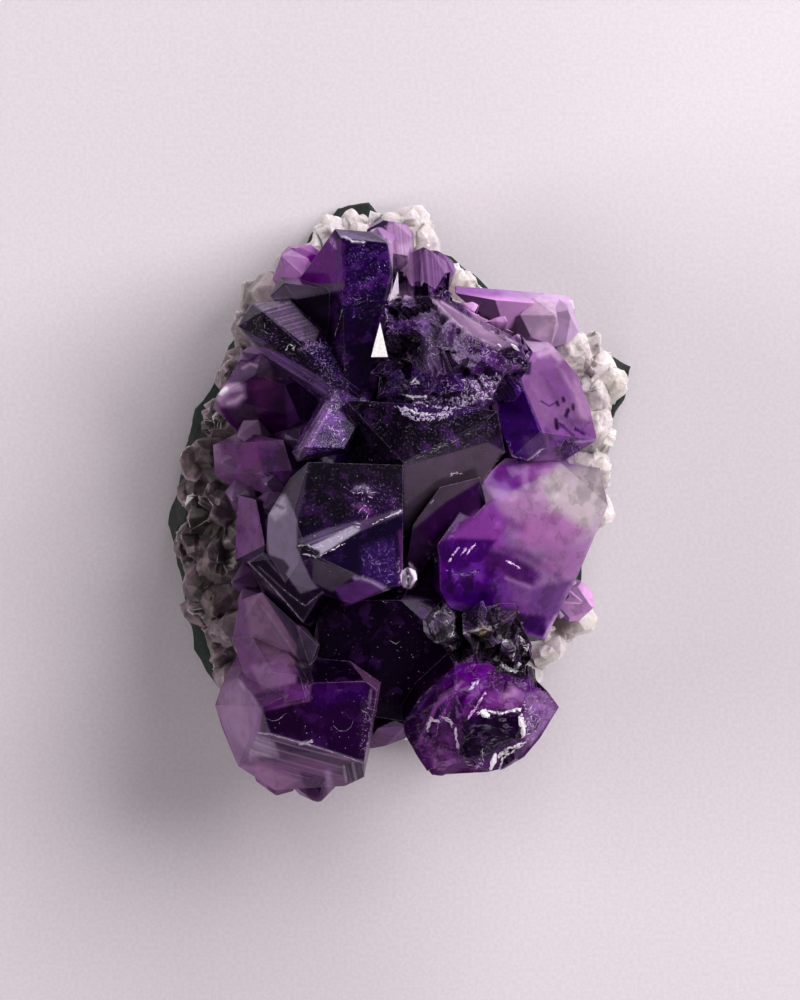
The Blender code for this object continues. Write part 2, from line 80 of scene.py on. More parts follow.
# where points of the part show in the view, as steps across and down
def seenAt(points):
    nearness = (view["eyeHeight"] - points[:, 2:3]) / (view["eyeHeight"] - view["planLevel"])
    plan = (points[:, :2] - origin[:2]) / nearness / view["step"]
    return np.stack([view["middle"][0] + plan[:, 0], view["middle"][1] - plan[:, 1]], axis=1)


def placeCamera():
    camera = bpy.data.cameras.new("camera")
    camera.sensor_fit = "VERTICAL"
    camera.sensor_height = view["sensor"]
    camera.lens = view["lens"]
    camera.clip_start = view["nearest"]
    placed = bpy.data.objects.new("camera", camera)
    placed.location = Vector(eye * mm)
    bpy.context.scene.collection.objects.link(placed)
    bpy.context.scene.camera = placed
    print("camera placed")


# Noise, worked out for whole arrays of points.
# A cell's number mixes its three whole numbers and the seed by large odd factors and shifts.
mixing = {"x": 374761393, "y": 668265263, "z": 2147483647, "seed": 1274126177, "keep": 0x7FFFFFFF}


# a repeatable number from 0 to 1 for each whole-number cell
def cellNumber(cells, seed):
    mixed = (cells[..., 0] * mixing["x"] + cells[..., 1] * mixing["y"] + cells[..., 2] * mixing["z"]
             + seed * mixing["seed"]).astype(np.int64)
    mixed = (mixed ^ (mixed >> 13)) * mixing["seed"] & mixing["keep"]
    mixed = (mixed ^ (mixed >> 16)) * mixing["x"] & mixing["keep"]
    return (mixed ^ (mixed >> 15)) / float(mixing["keep"])


# smooth noise from -1 to 1: the corner numbers of each cell, blended by s*s*(3-2s)
def smoothNoise(points, size, height, seed):
    scaled = points / size
    base = np.floor(scaled).astype(np.int64)
    part = scaled - base
    part = part * part * (3 - 2 * part)
    total = np.zeros(len(points))
    for corner in range(8):
        step = np.array([corner & 1, corner >> 1 & 1, corner >> 2 & 1])
        weight = np.prod(np.where(step, part, 1 - part), axis=1)
        total += weight * cellNumber(base + step, seed)
    return (total * 2 - 1) * height


# each point's nearest seeded spot: the offset from it, and that spot's cell
def nearestCell(points, size, seed):
    scaled = points / size
    base = np.floor(scaled).astype(np.int64)
    best = np.full(len(points), 9.0)     # farther than any spot of the 27 cells around
    offset = np.zeros_like(points)
    home = base.copy()
    for index in range(27):
        cell = base + np.array([index % 3 - 1, index // 3 % 3 - 1, index // 9 - 1])
        away = scaled - cell - np.stack([cellNumber(cell, seed + k) for k in range(3)], axis=1)
        distance = np.linalg.norm(away, axis=1)
        closer = distance < best
        best = np.where(closer, distance, best)
        offset = np.where(closer[:, None], away, offset)
        home = np.where(closer[:, None], cell, home)
    return offset * size, home


# broken facets: inside each cell the surface is a plane tilted its own way
def brokenFacets(points, size, tilt, seed):
    offset, home = nearestCell(points, size, seed)
    lean = np.stack([cellNumber(home, seed + 11 + k) for k in range(3)], axis=1) * 2 - 1
    return (offset * lean).sum(axis=1) * tilt


# a socket in shader maths
class Wire:
    def __init__(self, paint, socket):
        self.paint = paint
        self.socket = socket

    def maths(self, operation, *values):
        return self.paint.add("Math", {"operation": operation}, dict(enumerate(values)))

    def __add__(self, other):
        return self.maths("ADD", self, other)

    def __rsub__(self, other):
        return self.maths("SUBTRACT", other, self)

    def __mul__(self, other):
        return self.maths("MULTIPLY", self, other)

    def most(self, other):
        return self.maths("MAXIMUM", self, other)

    def between(self, low, high):
        return self.paint.add("MapRange", {"interpolation_type": "SMOOTHSTEP"},
                              {0: self, 1: low, 2: high, 3: 0.0, 4: 1.0})


# the nodes of one material, or of the world
class Paint:
    def __init__(self, owner):
        owner.use_nodes = True
        self.owner = owner
        self.tree = owner.node_tree
        self.tree.nodes.clear()

    def add(self, kind, settings=None, sockets=None, output=0):
        node = self.tree.nodes.new("ShaderNode" + kind)
        for key, value in (settings or {}).items():
            setattr(node, key, value)
        for key, value in (sockets or {}).items():
            if isinstance(value, Wire):
                self.tree.links.new(value.socket, node.inputs[key])
            else:
                node.inputs[key].default_value = value
        return Wire(self, node.outputs[output])

    def place(self):
        return self.add("TexCoord", output="Object")

    def attribute(self, name, output=2):
        return self.add("Attribute", {"attribute_name": name}, None, output)

    def noise(self, size, detail=3.0, rough=0.55, place=None):
        return self.add("TexNoise", None, {"Vector": place or self.place(), "Scale": 1 / (size * mm),
                                           "Detail": detail, "Roughness": rough})

    def mix(self, share, first, second):
        return self.add("Mix", {"data_type": "RGBA"}, {0: share, 6: first, 7: second}, 2)

    def bump(self, height, strength, distance, below=None):
        sockets = {"Height": height, "Strength": strength, "Distance": distance * mm}
        if below:
            sockets["Normal"] = below
        return self.add("Bump", None, sockets)

    def finish(self, surface, volume=None, output="ShaderNodeOutputMaterial"):
        end = self.tree.nodes.new(output)
        self.tree.links.new(surface.socket, end.inputs["Surface"])
        if volume:
            self.tree.links.new(volume.socket, end.inputs["Volume"])
        return self.owner


# 0-255 screen colour to the linear value a shader takes: c / 12.92 where it is dark, otherwise
# (c + 0.055) / 1.055 to the power 2.4
def tone(red, green, blue):
    channels = np.array([red, green, blue]) / 255
    linear = np.where(channels <= 0.04045, channels / 12.92, ((channels + 0.055) / 1.055) ** 2.4)
    return (*linear, 1.0)


# a merged copy of a CAD node's mesh, in mm
def mergedCopy(node):
    bm = bmesh.new()
    bm.from_mesh(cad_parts[node].data)
    bmesh.ops.remove_doubles(bm, verts=bm.verts, dist=1e-6)
    bmesh.ops.scale(bm, verts=bm.verts, vec=(1 / mm, 1 / mm, 1 / mm))
    return bm


# halves every edge longer than the limit, among the faces that are asked for, a round at a time
def refine(bm, limit, wanted=None, rounds=8):
    for _ in range(rounds):
        edges = [edge for edge in bm.edges if edge.calc_length() > limit]
        if wanted:
            bm.faces.index_update()
            centres = np.array([face.calc_center_median()[:] for face in bm.faces])
            chosen = wanted(centres, np.array([face.normal.z for face in bm.faces])).tolist()
            edges = [edge for edge in edges if any(chosen[face.index] for face in edge.link_faces)]
        if not edges:
            return
        bmesh.ops.subdivide_edges(bm, edges=edges, cuts=1)
        bmesh.ops.triangulate(bm, faces=[face for face in bm.faces if len(face.verts) > 3])


def places(bm):
    return np.array([vertex.co[:] for vertex in bm.verts])


# moves each vertex along its normal by a distance in mm
def swell(bm, distance):
    bm.normal_update()
    for vertex, far in zip(bm.verts, distance):
        vertex.co += vertex.normal * float(far)


# a Blender mesh in metres from a working copy in mm, which is freed
def meshOf(bm, name):
    bmesh.ops.scale(bm, verts=bm.verts, vec=(mm, mm, mm))
    mesh = bpy.data.meshes.new(name)
    bm.to_mesh(mesh)
    bm.free()
    return mesh


# a Blender mesh in metres from corners in mm and faces, with a tint for each corner
def newMesh(name, corners, faces, tints=None):
    mesh = bpy.data.meshes.new(name)
    mesh.from_pydata((corners * mm).tolist(), [], faces)
    if tints is not None:
        colour = mesh.attributes.new("tint", "FLOAT_COLOR", "POINT")
        colour.data.foreach_set("color", np.array(tints, np.float32).ravel())
    return mesh


# hangs a mesh on the root body as a piece with its material, and hides the node it stands in for
def settle(mesh, material, node=None):
    mesh.materials.clear()
    mesh.materials.append(material)
    mesh.polygons.foreach_set("material_index", np.zeros(len(mesh.polygons), np.int32))
    mesh.update()
    piece = bpy.data.objects.new(mesh.name, mesh)
    bpy.context.scene.collection.objects.link(piece)
    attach(piece, "root")
    if node:
        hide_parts(node)
    print("piece:", piece.name, len(mesh.polygons), "faces")


# What an amethyst crystal looks like: its tint, milk (0 clear to 1 opaque), mottle, painted
# sparkle (white glints of tiny facets and fractures), how broken its surface is, the line its striae
# follow, how pale its root is, and a fade to a second tint between two points of the view.
def look(tint, milk=0.6, mottle=0.4, specks=0.0, broken=0.0, lines=None, root=0.0, fade=None):
    return {"tint": tint, "milk": milk, "mottle": mottle, "specks": specks, "broken": broken,
            "lines": lines, "root": root, "fade": fade}


# A soft-edged area laid over the looks, by its corners in the view. soft is the half-width of
# its edge, and extra sets milk, mottle, painted sparkle or root there, or the line that striae
# run along.
def patch(corners, tint, amount=1.0, soft=1.5, **extra):
    return {"corners": corners, "tint": tint, "amount": amount, "soft": soft, "extra": extra}


# a soft-edged line laid over them
def stroke(points, width, tint, amount=1.0, soft=1.5, **extra):
    return {"points": points, "width": width, "tint": tint, "amount": amount, "soft": soft,
            "extra": extra}


looseLook = look((132, 100, 148), 0.7, root=1.0)     # crystals outside every region

# whole crystals, by the outline they show in the view
regions = {
    "left bank": ([(180, 400), (420, 400), (420, 780), (180, 780)], look((124, 84, 130), 0.8, 0.45)),
    "top left": ([(245, 230), (345, 230), (345, 290), (245, 290)], look((166, 116, 172), 0.85, 0.15)),
    "rose": ([(440, 280), (600, 280), (600, 345), (440, 345)],
             look((158, 84, 186), 0.85, 0.15, fade=((470, 292), (540, 318), (206, 180, 210)))),
    "back": ([(395, 215), (460, 215), (460, 300), (395, 300)],
             look((140, 104, 150), 0.9, 0.15, lines=((398, 225), (404, 295)))),
    "pink right": ([(530, 580), (600, 580), (600, 660), (530, 660)], look((215, 170, 215), 0.9)),
    "maroon": ([(205, 395), (235, 350), (275, 345), (310, 380), (300, 440), (230, 445)],
               look((74, 20, 86), 0.75, 0.2)),
    "crown": ([(298, 281), (330, 225), (395, 225), (395, 300), (378, 392), (340, 392), (335, 300)],
              look((44, 10, 78), 0.6, 0.9, 0.15)),
    "wedge": ([(268, 285), (300, 270), (345, 290), (335, 350), (310, 345), (275, 300)],
              look((30, 8, 46), 0.85, 0.2)),
    "pointer": ([(232, 325), (245, 298), (290, 300), (350, 350), (365, 400), (300, 385), (245, 350)],
                look((30, 9, 46), 0.8, 0.5, 0.15)),
    "prism": ([(288, 465), (300, 400), (345, 385), (358, 440), (330, 468)],
              look((82, 42, 118), 0.6, 0.9, 0.6)),
    "big left": ([(262, 500), (285, 452), (400, 452), (405, 600), (340, 612), (310, 625), (260, 600)],
                 look((24, 8, 42), 0.8, 0.3)),
    "frame": ([(245, 560), (262, 545), (305, 545), (325, 592), (305, 630), (285, 630)],
              look((52, 24, 68), 0.7, 0.2)),
    "pit": ([(340, 398), (505, 395), (512, 480), (430, 560), (400, 600), (395, 455), (340, 455)],
            look((26, 9, 38), 0.85, 0.3)),
    "plum": ([(402, 520), (440, 475), (485, 470), (490, 500), (440, 555), (410, 595)],
             look((72, 26, 86), 0.85, 0.3)),
    "big right": ([(428, 545), (462, 508), (500, 453), (560, 458), (612, 500), (605, 560), (545, 645),
                   (500, 612), (435, 602)],
                  look((200, 178, 198), 0.8, 0.35, fade=((585, 490), (468, 560), (112, 34, 140)))),
    "right prism": ([(490, 385), (530, 342), (565, 342), (605, 420), (600, 465), (520, 470),
                     (495, 425)], look((160, 118, 170), 0.8, 0.12)),
    "rough": ([(375, 330), (400, 290), (440, 290), (522, 335), (532, 380), (460, 425), (380, 402)],
              look((68, 32, 88), 0.8, 0.65, 0.14, 1.2)),
    "low pit": ([(308, 620), (400, 588), (465, 620), (455, 690), (395, 728), (310, 690)],
                look((22, 6, 32), 0.9, 0.3)),
    "crumbs": ([(420, 608), (465, 600), (530, 622), (535, 680), (450, 655)],
               look((34, 22, 38), 0.85, 0.6, 0.15, 0.9)),
    "chunk": ([(402, 725), (440, 668), (480, 655), (562, 700), (520, 775), (420, 778)],
              look((84, 30, 96), 0.8, 0.45, 0.0, 0.3)),
    "foot": ([(212, 705), (245, 670), (380, 678), (378, 762), (340, 803), (225, 765)],
             look((112, 79, 112), 0.9, 0.2)),
    "lilac": ([(235, 650), (310, 650), (314, 708), (258, 712)], look((116, 73, 122), 0.85, 0.3)),
}

# single facets, by a point on them: the grey crown top is a painted reflection and the pale
# splinter a painted highlight
facets = {
    "crown top": ((363, 237), look((108, 98, 122), 0.9, 0.2, 0.1)),
    "crown left": ((322, 262), look((84, 20, 112), 0.7, 0.3)),
    "splinter": ((380, 347), look((200, 190, 200), 1.0, 0.0)),
    "foot side": ((240, 720), look((142, 112, 142), 0.95, 0.1)),
}

# the smooth strip along the back of the broken crystal, whose grey-mauve tone is a painted
# reflection
roughStrip = [(428, 297), (442, 300), (476, 322), (522, 344), (502, 353), (470, 336), (444, 316)]

# what lies over the looks, crystal by crystal, in order: the crystals' own tones together with
# painted reflections, painted highlights and a face painted as if lit, as marked below
touches = {
    "crown": [
        # the white line along the crown's top edge, the pale glints and the white wedge behind it are
        # painted highlights
        patch([(283, 283), (320, 243), (334, 237), (345, 243), (345, 290)], (112, 22, 132), 0.95, 1.5),
        patch([(337, 240), (345, 243), (346, 288), (339, 292)], (108, 58, 140), 0.6, 1.5),
        stroke([(331, 239), (335, 246)], 5, (190, 150, 205), 0.6, 2, specks=0.8),
        patch([(346, 243), (390, 244), (391, 285), (346, 290)], (62, 22, 104), 0.85, 4, specks=0.2,
              mottle=1.0),
        patch([(342, 318), (384, 318), (378, 392), (342, 392)], (44, 10, 72), 0.85, 8, specks=0.0),
        stroke([(343, 236), (352, 241), (366, 242)], 1.2, (235, 228, 238), 0.95, 0.8),
        patch([(350, 246), (372, 246), (364, 262), (350, 272)], (70, 34, 116), 0.6, 3, specks=0.5),
        patch([(366, 262), (388, 256), (388, 286), (370, 290)], (62, 18, 104), 0.6, 3),
        patch([(348, 284), (364, 280), (372, 300), (352, 306)], (74, 34, 112), 0.6, 3, specks=0.5),
        stroke([(389, 246), (391, 275), (385, 300)], 1.4, (160, 142, 176), 0.6, 1),
        patch([(387, 301), (398, 271), (401, 297)], (220, 208, 220), 0.95, 1, milk=1.0),
    ],
    "rose": [
        # the rose crystal's face lies in shade and is painted pale as if lit: painted light
        patch([(452, 294), (500, 296), (548, 303), (552, 330), (520, 338), (478, 318)], (206, 160, 206),
              0.95, 3, milk=1.0, mottle=0.1),
        patch([(456, 297), (496, 300), (500, 318), (476, 316)], (226, 180, 228), 0.8, 4),
        stroke([(454, 291), (500, 295)], 6, (168, 108, 184), 0.6, 3),
    ],
    "behind the crown": [
        patch([(384, 226), (396, 222), (412, 226), (414, 300), (400, 300), (391, 262)], (176, 142, 178),
              0.9, 1.5, milk=0.95, root=0.0, along=((398, 225), (404, 295))),
        patch([(398, 246), (412, 240), (410, 268), (402, 270)], (206, 178, 206), 0.7, 3),
        patch([(414, 250), (424, 246), (430, 296), (418, 296)], (112, 74, 122), 0.7, 3),
    ],
    "wedge and pointer": [
        # the grey tops of the wedge and the pointer are painted reflections, and the light lines along
        # their edges painted highlights
        patch([(296, 300), (340, 292), (346, 330), (330, 346), (318, 330)], (18, 7, 30), 0.9, 2),
        patch([(270, 297), (283, 284), (345, 283), (342, 290), (300, 298), (272, 300)], (90, 80, 96), 1,
              1, milk=0.95, mottle=0.2),
        patch([(273, 290), (283, 276), (298, 281), (285, 285)], (34, 16, 44), 0.9, 1.5),
        patch([(238, 328), (250, 303), (262, 312), (302, 343), (306, 362), (262, 350)], (10, 6, 18), 0.95,
              2, specks=0.3),
        stroke([(240, 330), (246, 338)], 8, (40, 22, 76), 0.7, 4),
        patch([(252, 303), (290, 300), (304, 316), (320, 331), (315, 342), (300, 341), (262, 311)],
              (96, 82, 102), 1, 1, milk=1.0, along=((262, 318), (292, 308))),
        stroke([(238, 326), (262, 352), (285, 368)], 1.2, (140, 124, 150), 0.7, 1),
        stroke([(239, 320), (255, 300), (288, 298)], 1.4, (150, 138, 156), 0.6, 1),
        patch([(255, 346), (270, 349), (336, 385), (332, 399), (318, 393)], (116, 86, 138), 0.9, 1.5,
              along=((256, 346), (332, 394))),
        patch([(300, 346), (330, 338), (346, 350), (350, 392), (330, 388)], (50, 30, 80), 0.8, 4,
              specks=0.9),
        stroke([(300, 350), (312, 344), (322, 346)], 3, (170, 140, 190), 0.6, 2, specks=1.0),
    ],
    "prism": [
        patch([(284, 380), (312, 378), (306, 452), (286, 440)], (82, 42, 100), 0.8, 3),
        patch([(294, 455), (302, 463), (309, 454), (335, 403), (326, 399)], (108, 78, 124), 0.95, 1.2,
              milk=0.9, along=((300, 458), (330, 402))),
        # the pale lines along the prism's strip are painted highlights
        stroke([(298, 448), (326, 402)], 1, (206, 184, 216), 0.7, 0.8),
        stroke([(306, 452), (332, 406)], 1, (206, 184, 216), 0.25, 0.8),
        patch([(296, 452), (306, 450), (312, 462), (302, 466)], (36, 16, 52), 0.9, 2),
        patch([(316, 436), (334, 420), (348, 450), (340, 466), (322, 464)], (62, 24, 96), 0.85, 3),
        patch([(326, 396), (345, 386), (356, 410), (352, 442), (338, 440), (328, 420)], (104, 72, 130),
              0.75, 4, specks=0.5, milk=0.9),
    ],
    "maroon": [
        patch([(236, 376), (262, 362), (300, 380), (300, 430), (250, 440), (225, 410)], (54, 12, 62), 0.9,
              4, mottle=0.2),
        patch([(244, 384), (270, 372), (282, 392), (262, 412)], (92, 34, 94), 0.8, 4),
        patch([(212, 388), (240, 362), (275, 356), (268, 368), (232, 382)], (116, 82, 126), 0.8, 3),
        # the white blob and lines at the maroon crystal's left tip are a painted highlight
        stroke([(243, 368), (250, 364), (257, 366)], 3, (222, 202, 222), 0.5, 1.5),
        patch([(213, 392), (226, 383), (245, 384), (246, 398), (236, 407), (220, 407)], (170, 136, 174),
              0.8, 3, milk=1.0),
        stroke([(219, 397), (228, 388), (238, 387)], 8, (214, 188, 218), 0.7, 3, milk=1.0),
        stroke([(221, 393), (226, 389)], 5, (252, 244, 252), 0.95, 1.2, milk=1.0),
        stroke([(228, 403), (236, 401), (242, 396)], 3, (224, 202, 226), 0.6, 2, milk=1.0),
        stroke([(230, 396), (240, 392)], 3, (112, 78, 118), 0.6, 2),
        stroke([(258, 386), (268, 382)], 8, (116, 54, 108), 0.6, 4),
        stroke([(213, 404), (222, 424), (236, 440)], 8, (158, 134, 158), 0.8, 3),
        patch([(284, 372), (302, 384), (302, 440), (288, 436)], (96, 54, 116), 0.8, 2.5),
        patch([(208, 440), (285, 436), (296, 470), (270, 490), (215, 486)], (112, 74, 116), 0.7, 6,
              mottle=0.6),
        patch([(236, 446), (262, 440), (262, 464), (240, 470)], (128, 70, 130), 0.7, 5),
        patch([(258, 448), (292, 446), (296, 476), (264, 480)], (66, 28, 78), 0.85, 5),
        stroke([(214, 446), (218, 470)], 8, (176, 150, 174), 0.8, 4),
        patch([(246, 600), (262, 592), (290, 636), (306, 668), (272, 664), (250, 640)], (150, 120, 144),
              0.7, 5, mottle=0.4),
        patch([(258, 500), (284, 470), (262, 540)], (70, 32, 82), 0.6, 5),
    ],
    "pit and plum": [
        # the grey face of the pit is a painted reflection
        patch([(404, 466), (487, 442), (506, 452), (483, 480), (445, 503), (406, 536)], (92, 78, 92), 1,
              1.2, milk=1.0, mottle=0.2),
        patch([(404, 424), (480, 408), (502, 424), (487, 441), (404, 465)], (34, 26, 40), 0.9, 2.5,
              mottle=0.8, specks=0.25),
        patch([(486, 412), (505, 412), (508, 448), (488, 440)], (20, 8, 32), 0.9, 1.5),
        patch([(345, 400), (405, 402), (404, 466), (345, 466)], (12, 7, 20), 0.85, 2, specks=0.12),
        patch([(406, 536), (445, 503), (483, 480), (494, 500), (445, 552), (412, 596)], (62, 22, 76), 0.9,
              2, mottle=0.3),
    ],
    "big left": [
        patch([(309, 461), (404, 461), (404, 508), (300, 528), (297, 515)], (7, 3, 13), 0.95, 1.5,
              specks=0.08),
        patch([(345, 482), (398, 486), (398, 512), (350, 524)], (48, 18, 70), 0.6, 7, specks=0.35),
        stroke([(356, 489), (364, 486), (371, 494)], 4, (206, 188, 216), 0.35, 2, specks=1.0),
        stroke([(358, 506), (369, 511)], 4, (190, 110, 200), 0.4, 3, specks=1.0),
        # the grey left facets and the pale bevel strip of the big left crystal are painted reflections,
        # and its pale strokes painted highlights
        patch([(309, 461), (291, 482), (286, 505), (298, 520), (305, 490)], (58, 50, 64), 1, 1.2,
              milk=0.95, mottle=0.1),
        patch([(265, 520), (286, 494), (297, 520), (297, 548), (312, 582), (270, 570)], (124, 112, 134),
              1, 1.5, milk=0.95, mottle=0.1),
        patch([(265, 512), (276, 496), (284, 494), (287, 512), (275, 520)], (176, 166, 182), 0.7, 3,
              specks=0.4),
        stroke([(276, 505), (283, 508)], 3, (40, 30, 48), 0.7, 1.5),
        patch([(298, 540), (322, 530), (357, 521), (362, 529), (318, 556), (302, 548)], (84, 74, 96), 1,
              1.5, milk=1.0, along=((300, 548), (360, 525))),
        patch([(308, 548), (352, 526), (361, 530), (318, 557)], (176, 168, 184), 0.85, 1.2,
              along=((300, 548), (360, 525))),
        patch([(358, 522), (402, 508), (403, 514), (362, 531)], (96, 78, 106), 0.9, 1),
        stroke([(392, 514), (402, 511)], 3, (170, 158, 174), 0.7, 1),
        stroke([(300, 547), (310, 550), (317, 553)], 6, (10, 6, 14), 0.95, 1.2),
        patch([(313, 558), (358, 574), (332, 592), (312, 582)], (78, 68, 82), 1, 1.2, milk=0.95,
              mottle=0.1),
        patch([(320, 556), (362, 532), (402, 516), (402, 590), (362, 577)], (30, 14, 58), 0.7, 3),
        patch([(362, 548), (394, 540), (397, 588), (366, 576)], (68, 35, 110), 0.8, 6, specks=0.5),
        stroke([(355, 578), (372, 582), (388, 591)], 4, (196, 170, 210), 0.7, 2, specks=0.6),
        patch([(334, 588), (360, 579), (386, 592), (345, 606)], (112, 70, 134), 0.9, 1.5, milk=0.85),
        stroke([(400, 532), (402, 556), (400, 584)], 4, (122, 62, 134), 0.7, 2),
    ],
    "frame": [
        # the grey face of the frame is a painted reflection and its light lines painted highlights
        patch([(247, 562), (262, 552), (284, 560), (300, 580), (323, 592), (304, 626), (286, 616),
              (264, 590)], (34, 17, 46), 0.95, 1.2),
        patch([(294, 560), (318, 588), (300, 594), (286, 574)], (122, 114, 132), 0.95, 1.2, milk=0.95),
        stroke([(248, 562), (276, 590), (303, 622)], 1.3, (186, 170, 192), 0.6, 0.8),
        stroke([(258, 566), (284, 590), (305, 606), (322, 593)], 1.3, (160, 142, 170), 0.6, 0.8),
        stroke([(249, 562), (262, 554), (284, 580)], 1.3, (150, 132, 160), 0.5, 0.8),
        stroke([(303, 622), (322, 592)], 1.3, (150, 132, 160), 0.5, 0.8),
    ],
    "low left and lilac": [
        patch([(300, 628), (316, 620), (319, 646), (308, 682), (294, 666)], (74, 64, 80), 0.95, 1.2,
              milk=0.95),
        stroke([(262, 606), (286, 640), (304, 668)], 2, (180, 158, 184), 0.6, 1.5),
        stroke([(282, 650), (300, 656), (306, 666)], 2, (90, 60, 94), 0.6, 1.5),
        patch([(250, 665), (285, 660), (298, 682), (262, 690)], (156, 118, 160), 0.8, 2),
        patch([(290, 684), (309, 684), (307, 701), (284, 703)], (106, 58, 118), 0.9, 1.2),
        patch([(250, 694), (284, 690), (284, 704), (262, 712)], (74, 32, 82), 0.9, 1.5),
        patch([(234, 664), (248, 668), (256, 700), (240, 690)], (122, 82, 128), 0.8, 2),
        patch([(298, 668), (312, 668), (312, 684), (296, 684)], (30, 12, 34), 0.9, 2),
    ],
    "foot": [
        # the light double line along the foot is a painted highlight, and the lavender-grey facets at its
        # left a painted reflection
        patch([(262, 712), (310, 701), (312, 682), (367, 682), (376, 692), (364, 763), (320, 749),
              (270, 734)], (50, 12, 66), 1, 1.2, milk=0.7, mottle=0.3),
        patch([(312, 684), (366, 684), (368, 700), (314, 706)], (68, 20, 100), 0.75, 5),
        patch([(262, 712), (300, 703), (310, 740), (270, 734)], (40, 10, 48), 0.7, 6),
        patch([(257, 712), (263, 712), (270, 733), (258, 733)], (68, 52, 72), 0.9, 1),
        patch([(256, 734), (270, 736), (362, 765), (345, 776), (300, 780), (262, 762), (248, 750)],
              (84, 61, 90), 0.9, 1.5, along=((258, 735), (362, 764))),
        patch([(268, 740), (306, 746), (330, 753), (290, 752)], (50, 22, 64), 0.8, 1.2),
        patch([(246, 764), (300, 758), (345, 766), (320, 780), (262, 778)], (130, 90, 130), 0.6, 3),
        stroke([(256, 733), (270, 734), (320, 748), (362, 762)], 1.4, (190, 172, 194), 0.6, 0.8),
        stroke([(262, 737), (300, 748), (350, 760)], 1.0, (170, 150, 178), 0.45, 0.8),
        stroke([(300, 744), (312, 741)], 2, (226, 214, 230), 0.7, 1, specks=1.0),
        patch([(362, 700), (376, 694), (374, 752), (360, 756)], (72, 38, 84), 0.7, 2.5, specks=0.8),
        stroke([(371, 690), (369, 708)], 2.2, (186, 160, 196), 0.45, 1.2),
        patch([(342, 764), (364, 762), (366, 780), (345, 782)], (40, 22, 50), 0.8, 2,
              along=((350, 762), (354, 782))),
        stroke([(344, 766), (346, 782)], 1.4, (190, 175, 196), 0.7, 1),
        stroke([(353, 763), (356, 780)], 1.2, (190, 175, 196), 0.6, 1),
        patch([(300, 772), (326, 776), (322, 800), (308, 796)], (66, 32, 76), 0.9, 2),
        stroke([(328, 772), (331, 795)], 6, (152, 128, 158), 0.8, 2),
        patch([(216, 690), (240, 676), (262, 712), (256, 760), (228, 740)], (150, 126, 154), 0.6, 3),
        stroke([(240, 682), (256, 704), (250, 760)], 2.5, (196, 178, 198), 0.5, 2),
        patch([(244, 684), (262, 712), (258, 734), (250, 752), (248, 706)], (136, 104, 142), 0.8, 1.2),
        patch([(218, 700), (236, 684), (246, 700), (240, 740)], (152, 124, 154), 0.6, 2),
        patch([(226, 728), (248, 752), (262, 764), (236, 760)], (128, 100, 134), 0.6, 3),
        patch([(256, 736), (274, 742), (280, 758), (252, 756)], (156, 138, 162), 0.7, 2),
        patch([(230, 764), (262, 766), (300, 780), (276, 794), (240, 780)], (160, 124, 158), 0.6, 3),
    ],
    "big right": [
        patch([(484, 486), (498, 464), (520, 458), (545, 462), (540, 476), (512, 492)], (126, 52, 152),
              0.95, 3),
        patch([(514, 470), (530, 460), (562, 460), (548, 476), (522, 484)], (166, 100, 174), 0.8, 4),
        patch([(540, 480), (560, 466), (604, 466), (612, 508), (585, 530), (548, 515)], (202, 190, 192),
              0.85, 8),
        patch([(500, 498), (540, 488), (560, 520), (520, 540), (498, 520)], (182, 138, 180), 0.7, 8),
        patch([(444, 542), (470, 518), (492, 502), (508, 520), (500, 548), (460, 548)], (142, 76, 156),
              0.95, 6, mottle=0.5),
        patch([(520, 518), (560, 512), (588, 532), (560, 548), (520, 548)], (172, 116, 170), 0.75, 6),
        stroke([(508, 522), (520, 528)], 10, (118, 64, 136), 0.6, 5),
        patch([(434, 546), (450, 538), (496, 540), (486, 556), (478, 568), (444, 570)], (70, 6, 104),
              0.95, 2.5, mottle=0.6),
        patch([(436, 572), (480, 560), (506, 580), (502, 606), (455, 610), (440, 595)], (86, 24, 124),
              0.95, 4, mottle=1.0),
        stroke([(456, 577), (468, 573), (480, 576)], 9, (136, 78, 172), 0.7, 3),
        stroke([(496, 584), (506, 592), (500, 600)], 12, (134, 84, 164), 0.7, 3),
        stroke([(470, 598), (486, 596)], 16, (64, 6, 108), 0.8, 4),
        stroke([(448, 604), (480, 611)], 5, (128, 88, 160), 0.7, 3),
        patch([(484, 550), (510, 554), (542, 574), (532, 586), (500, 574), (484, 566)], (84, 26, 104),
              0.9, 4, mottle=0.6),
        stroke([(500, 548), (530, 556)], 7, (110, 54, 126), 0.6, 4),
        stroke([(506, 578), (538, 590)], 3, (182, 138, 192), 0.7, 1.5),
        stroke([(536, 560), (566, 584)], 6, (120, 66, 132), 0.6, 4),
        stroke([(515, 600), (545, 604)], 4, (156, 112, 172), 0.5, 3),
        patch([(545, 545), (592, 540), (575, 580), (540, 570)], (160, 110, 162), 0.7, 8),
        patch([(532, 588), (572, 580), (552, 622), (528, 608)], (116, 76, 136), 0.85, 3),
        patch([(505, 612), (546, 616), (546, 638), (528, 632)], (60, 16, 88), 0.95, 2),
        # a painted highlight along the lower tip's edge
        stroke([(545, 637), (556, 616)], 3, (226, 196, 226), 0.7, 1.5),
    ],
    "right prism": [
        # the pale strokes along the right prism's top and edges are painted highlights
        patch([(497, 398), (521, 380), (541, 428), (546, 447), (520, 464), (503, 440)], (78, 14, 128), 1,
              1.2, milk=0.7, mottle=0.7),
        patch([(522, 380), (545, 348), (566, 352), (592, 400), (598, 440), (562, 442), (541, 428)],
              (138, 98, 146), 0.9, 1.5, mottle=0.25),
        stroke([(540, 354), (552, 350), (560, 358)], 7, (200, 172, 200), 0.8, 3),
        stroke([(558, 366), (576, 396), (586, 420)], 4, (172, 140, 172), 0.7, 2),
        stroke([(532, 384), (548, 420)], 5, (150, 114, 158), 0.6, 3),
        patch([(540, 372), (560, 366), (572, 396), (556, 408)], (120, 78, 132), 0.7, 4),
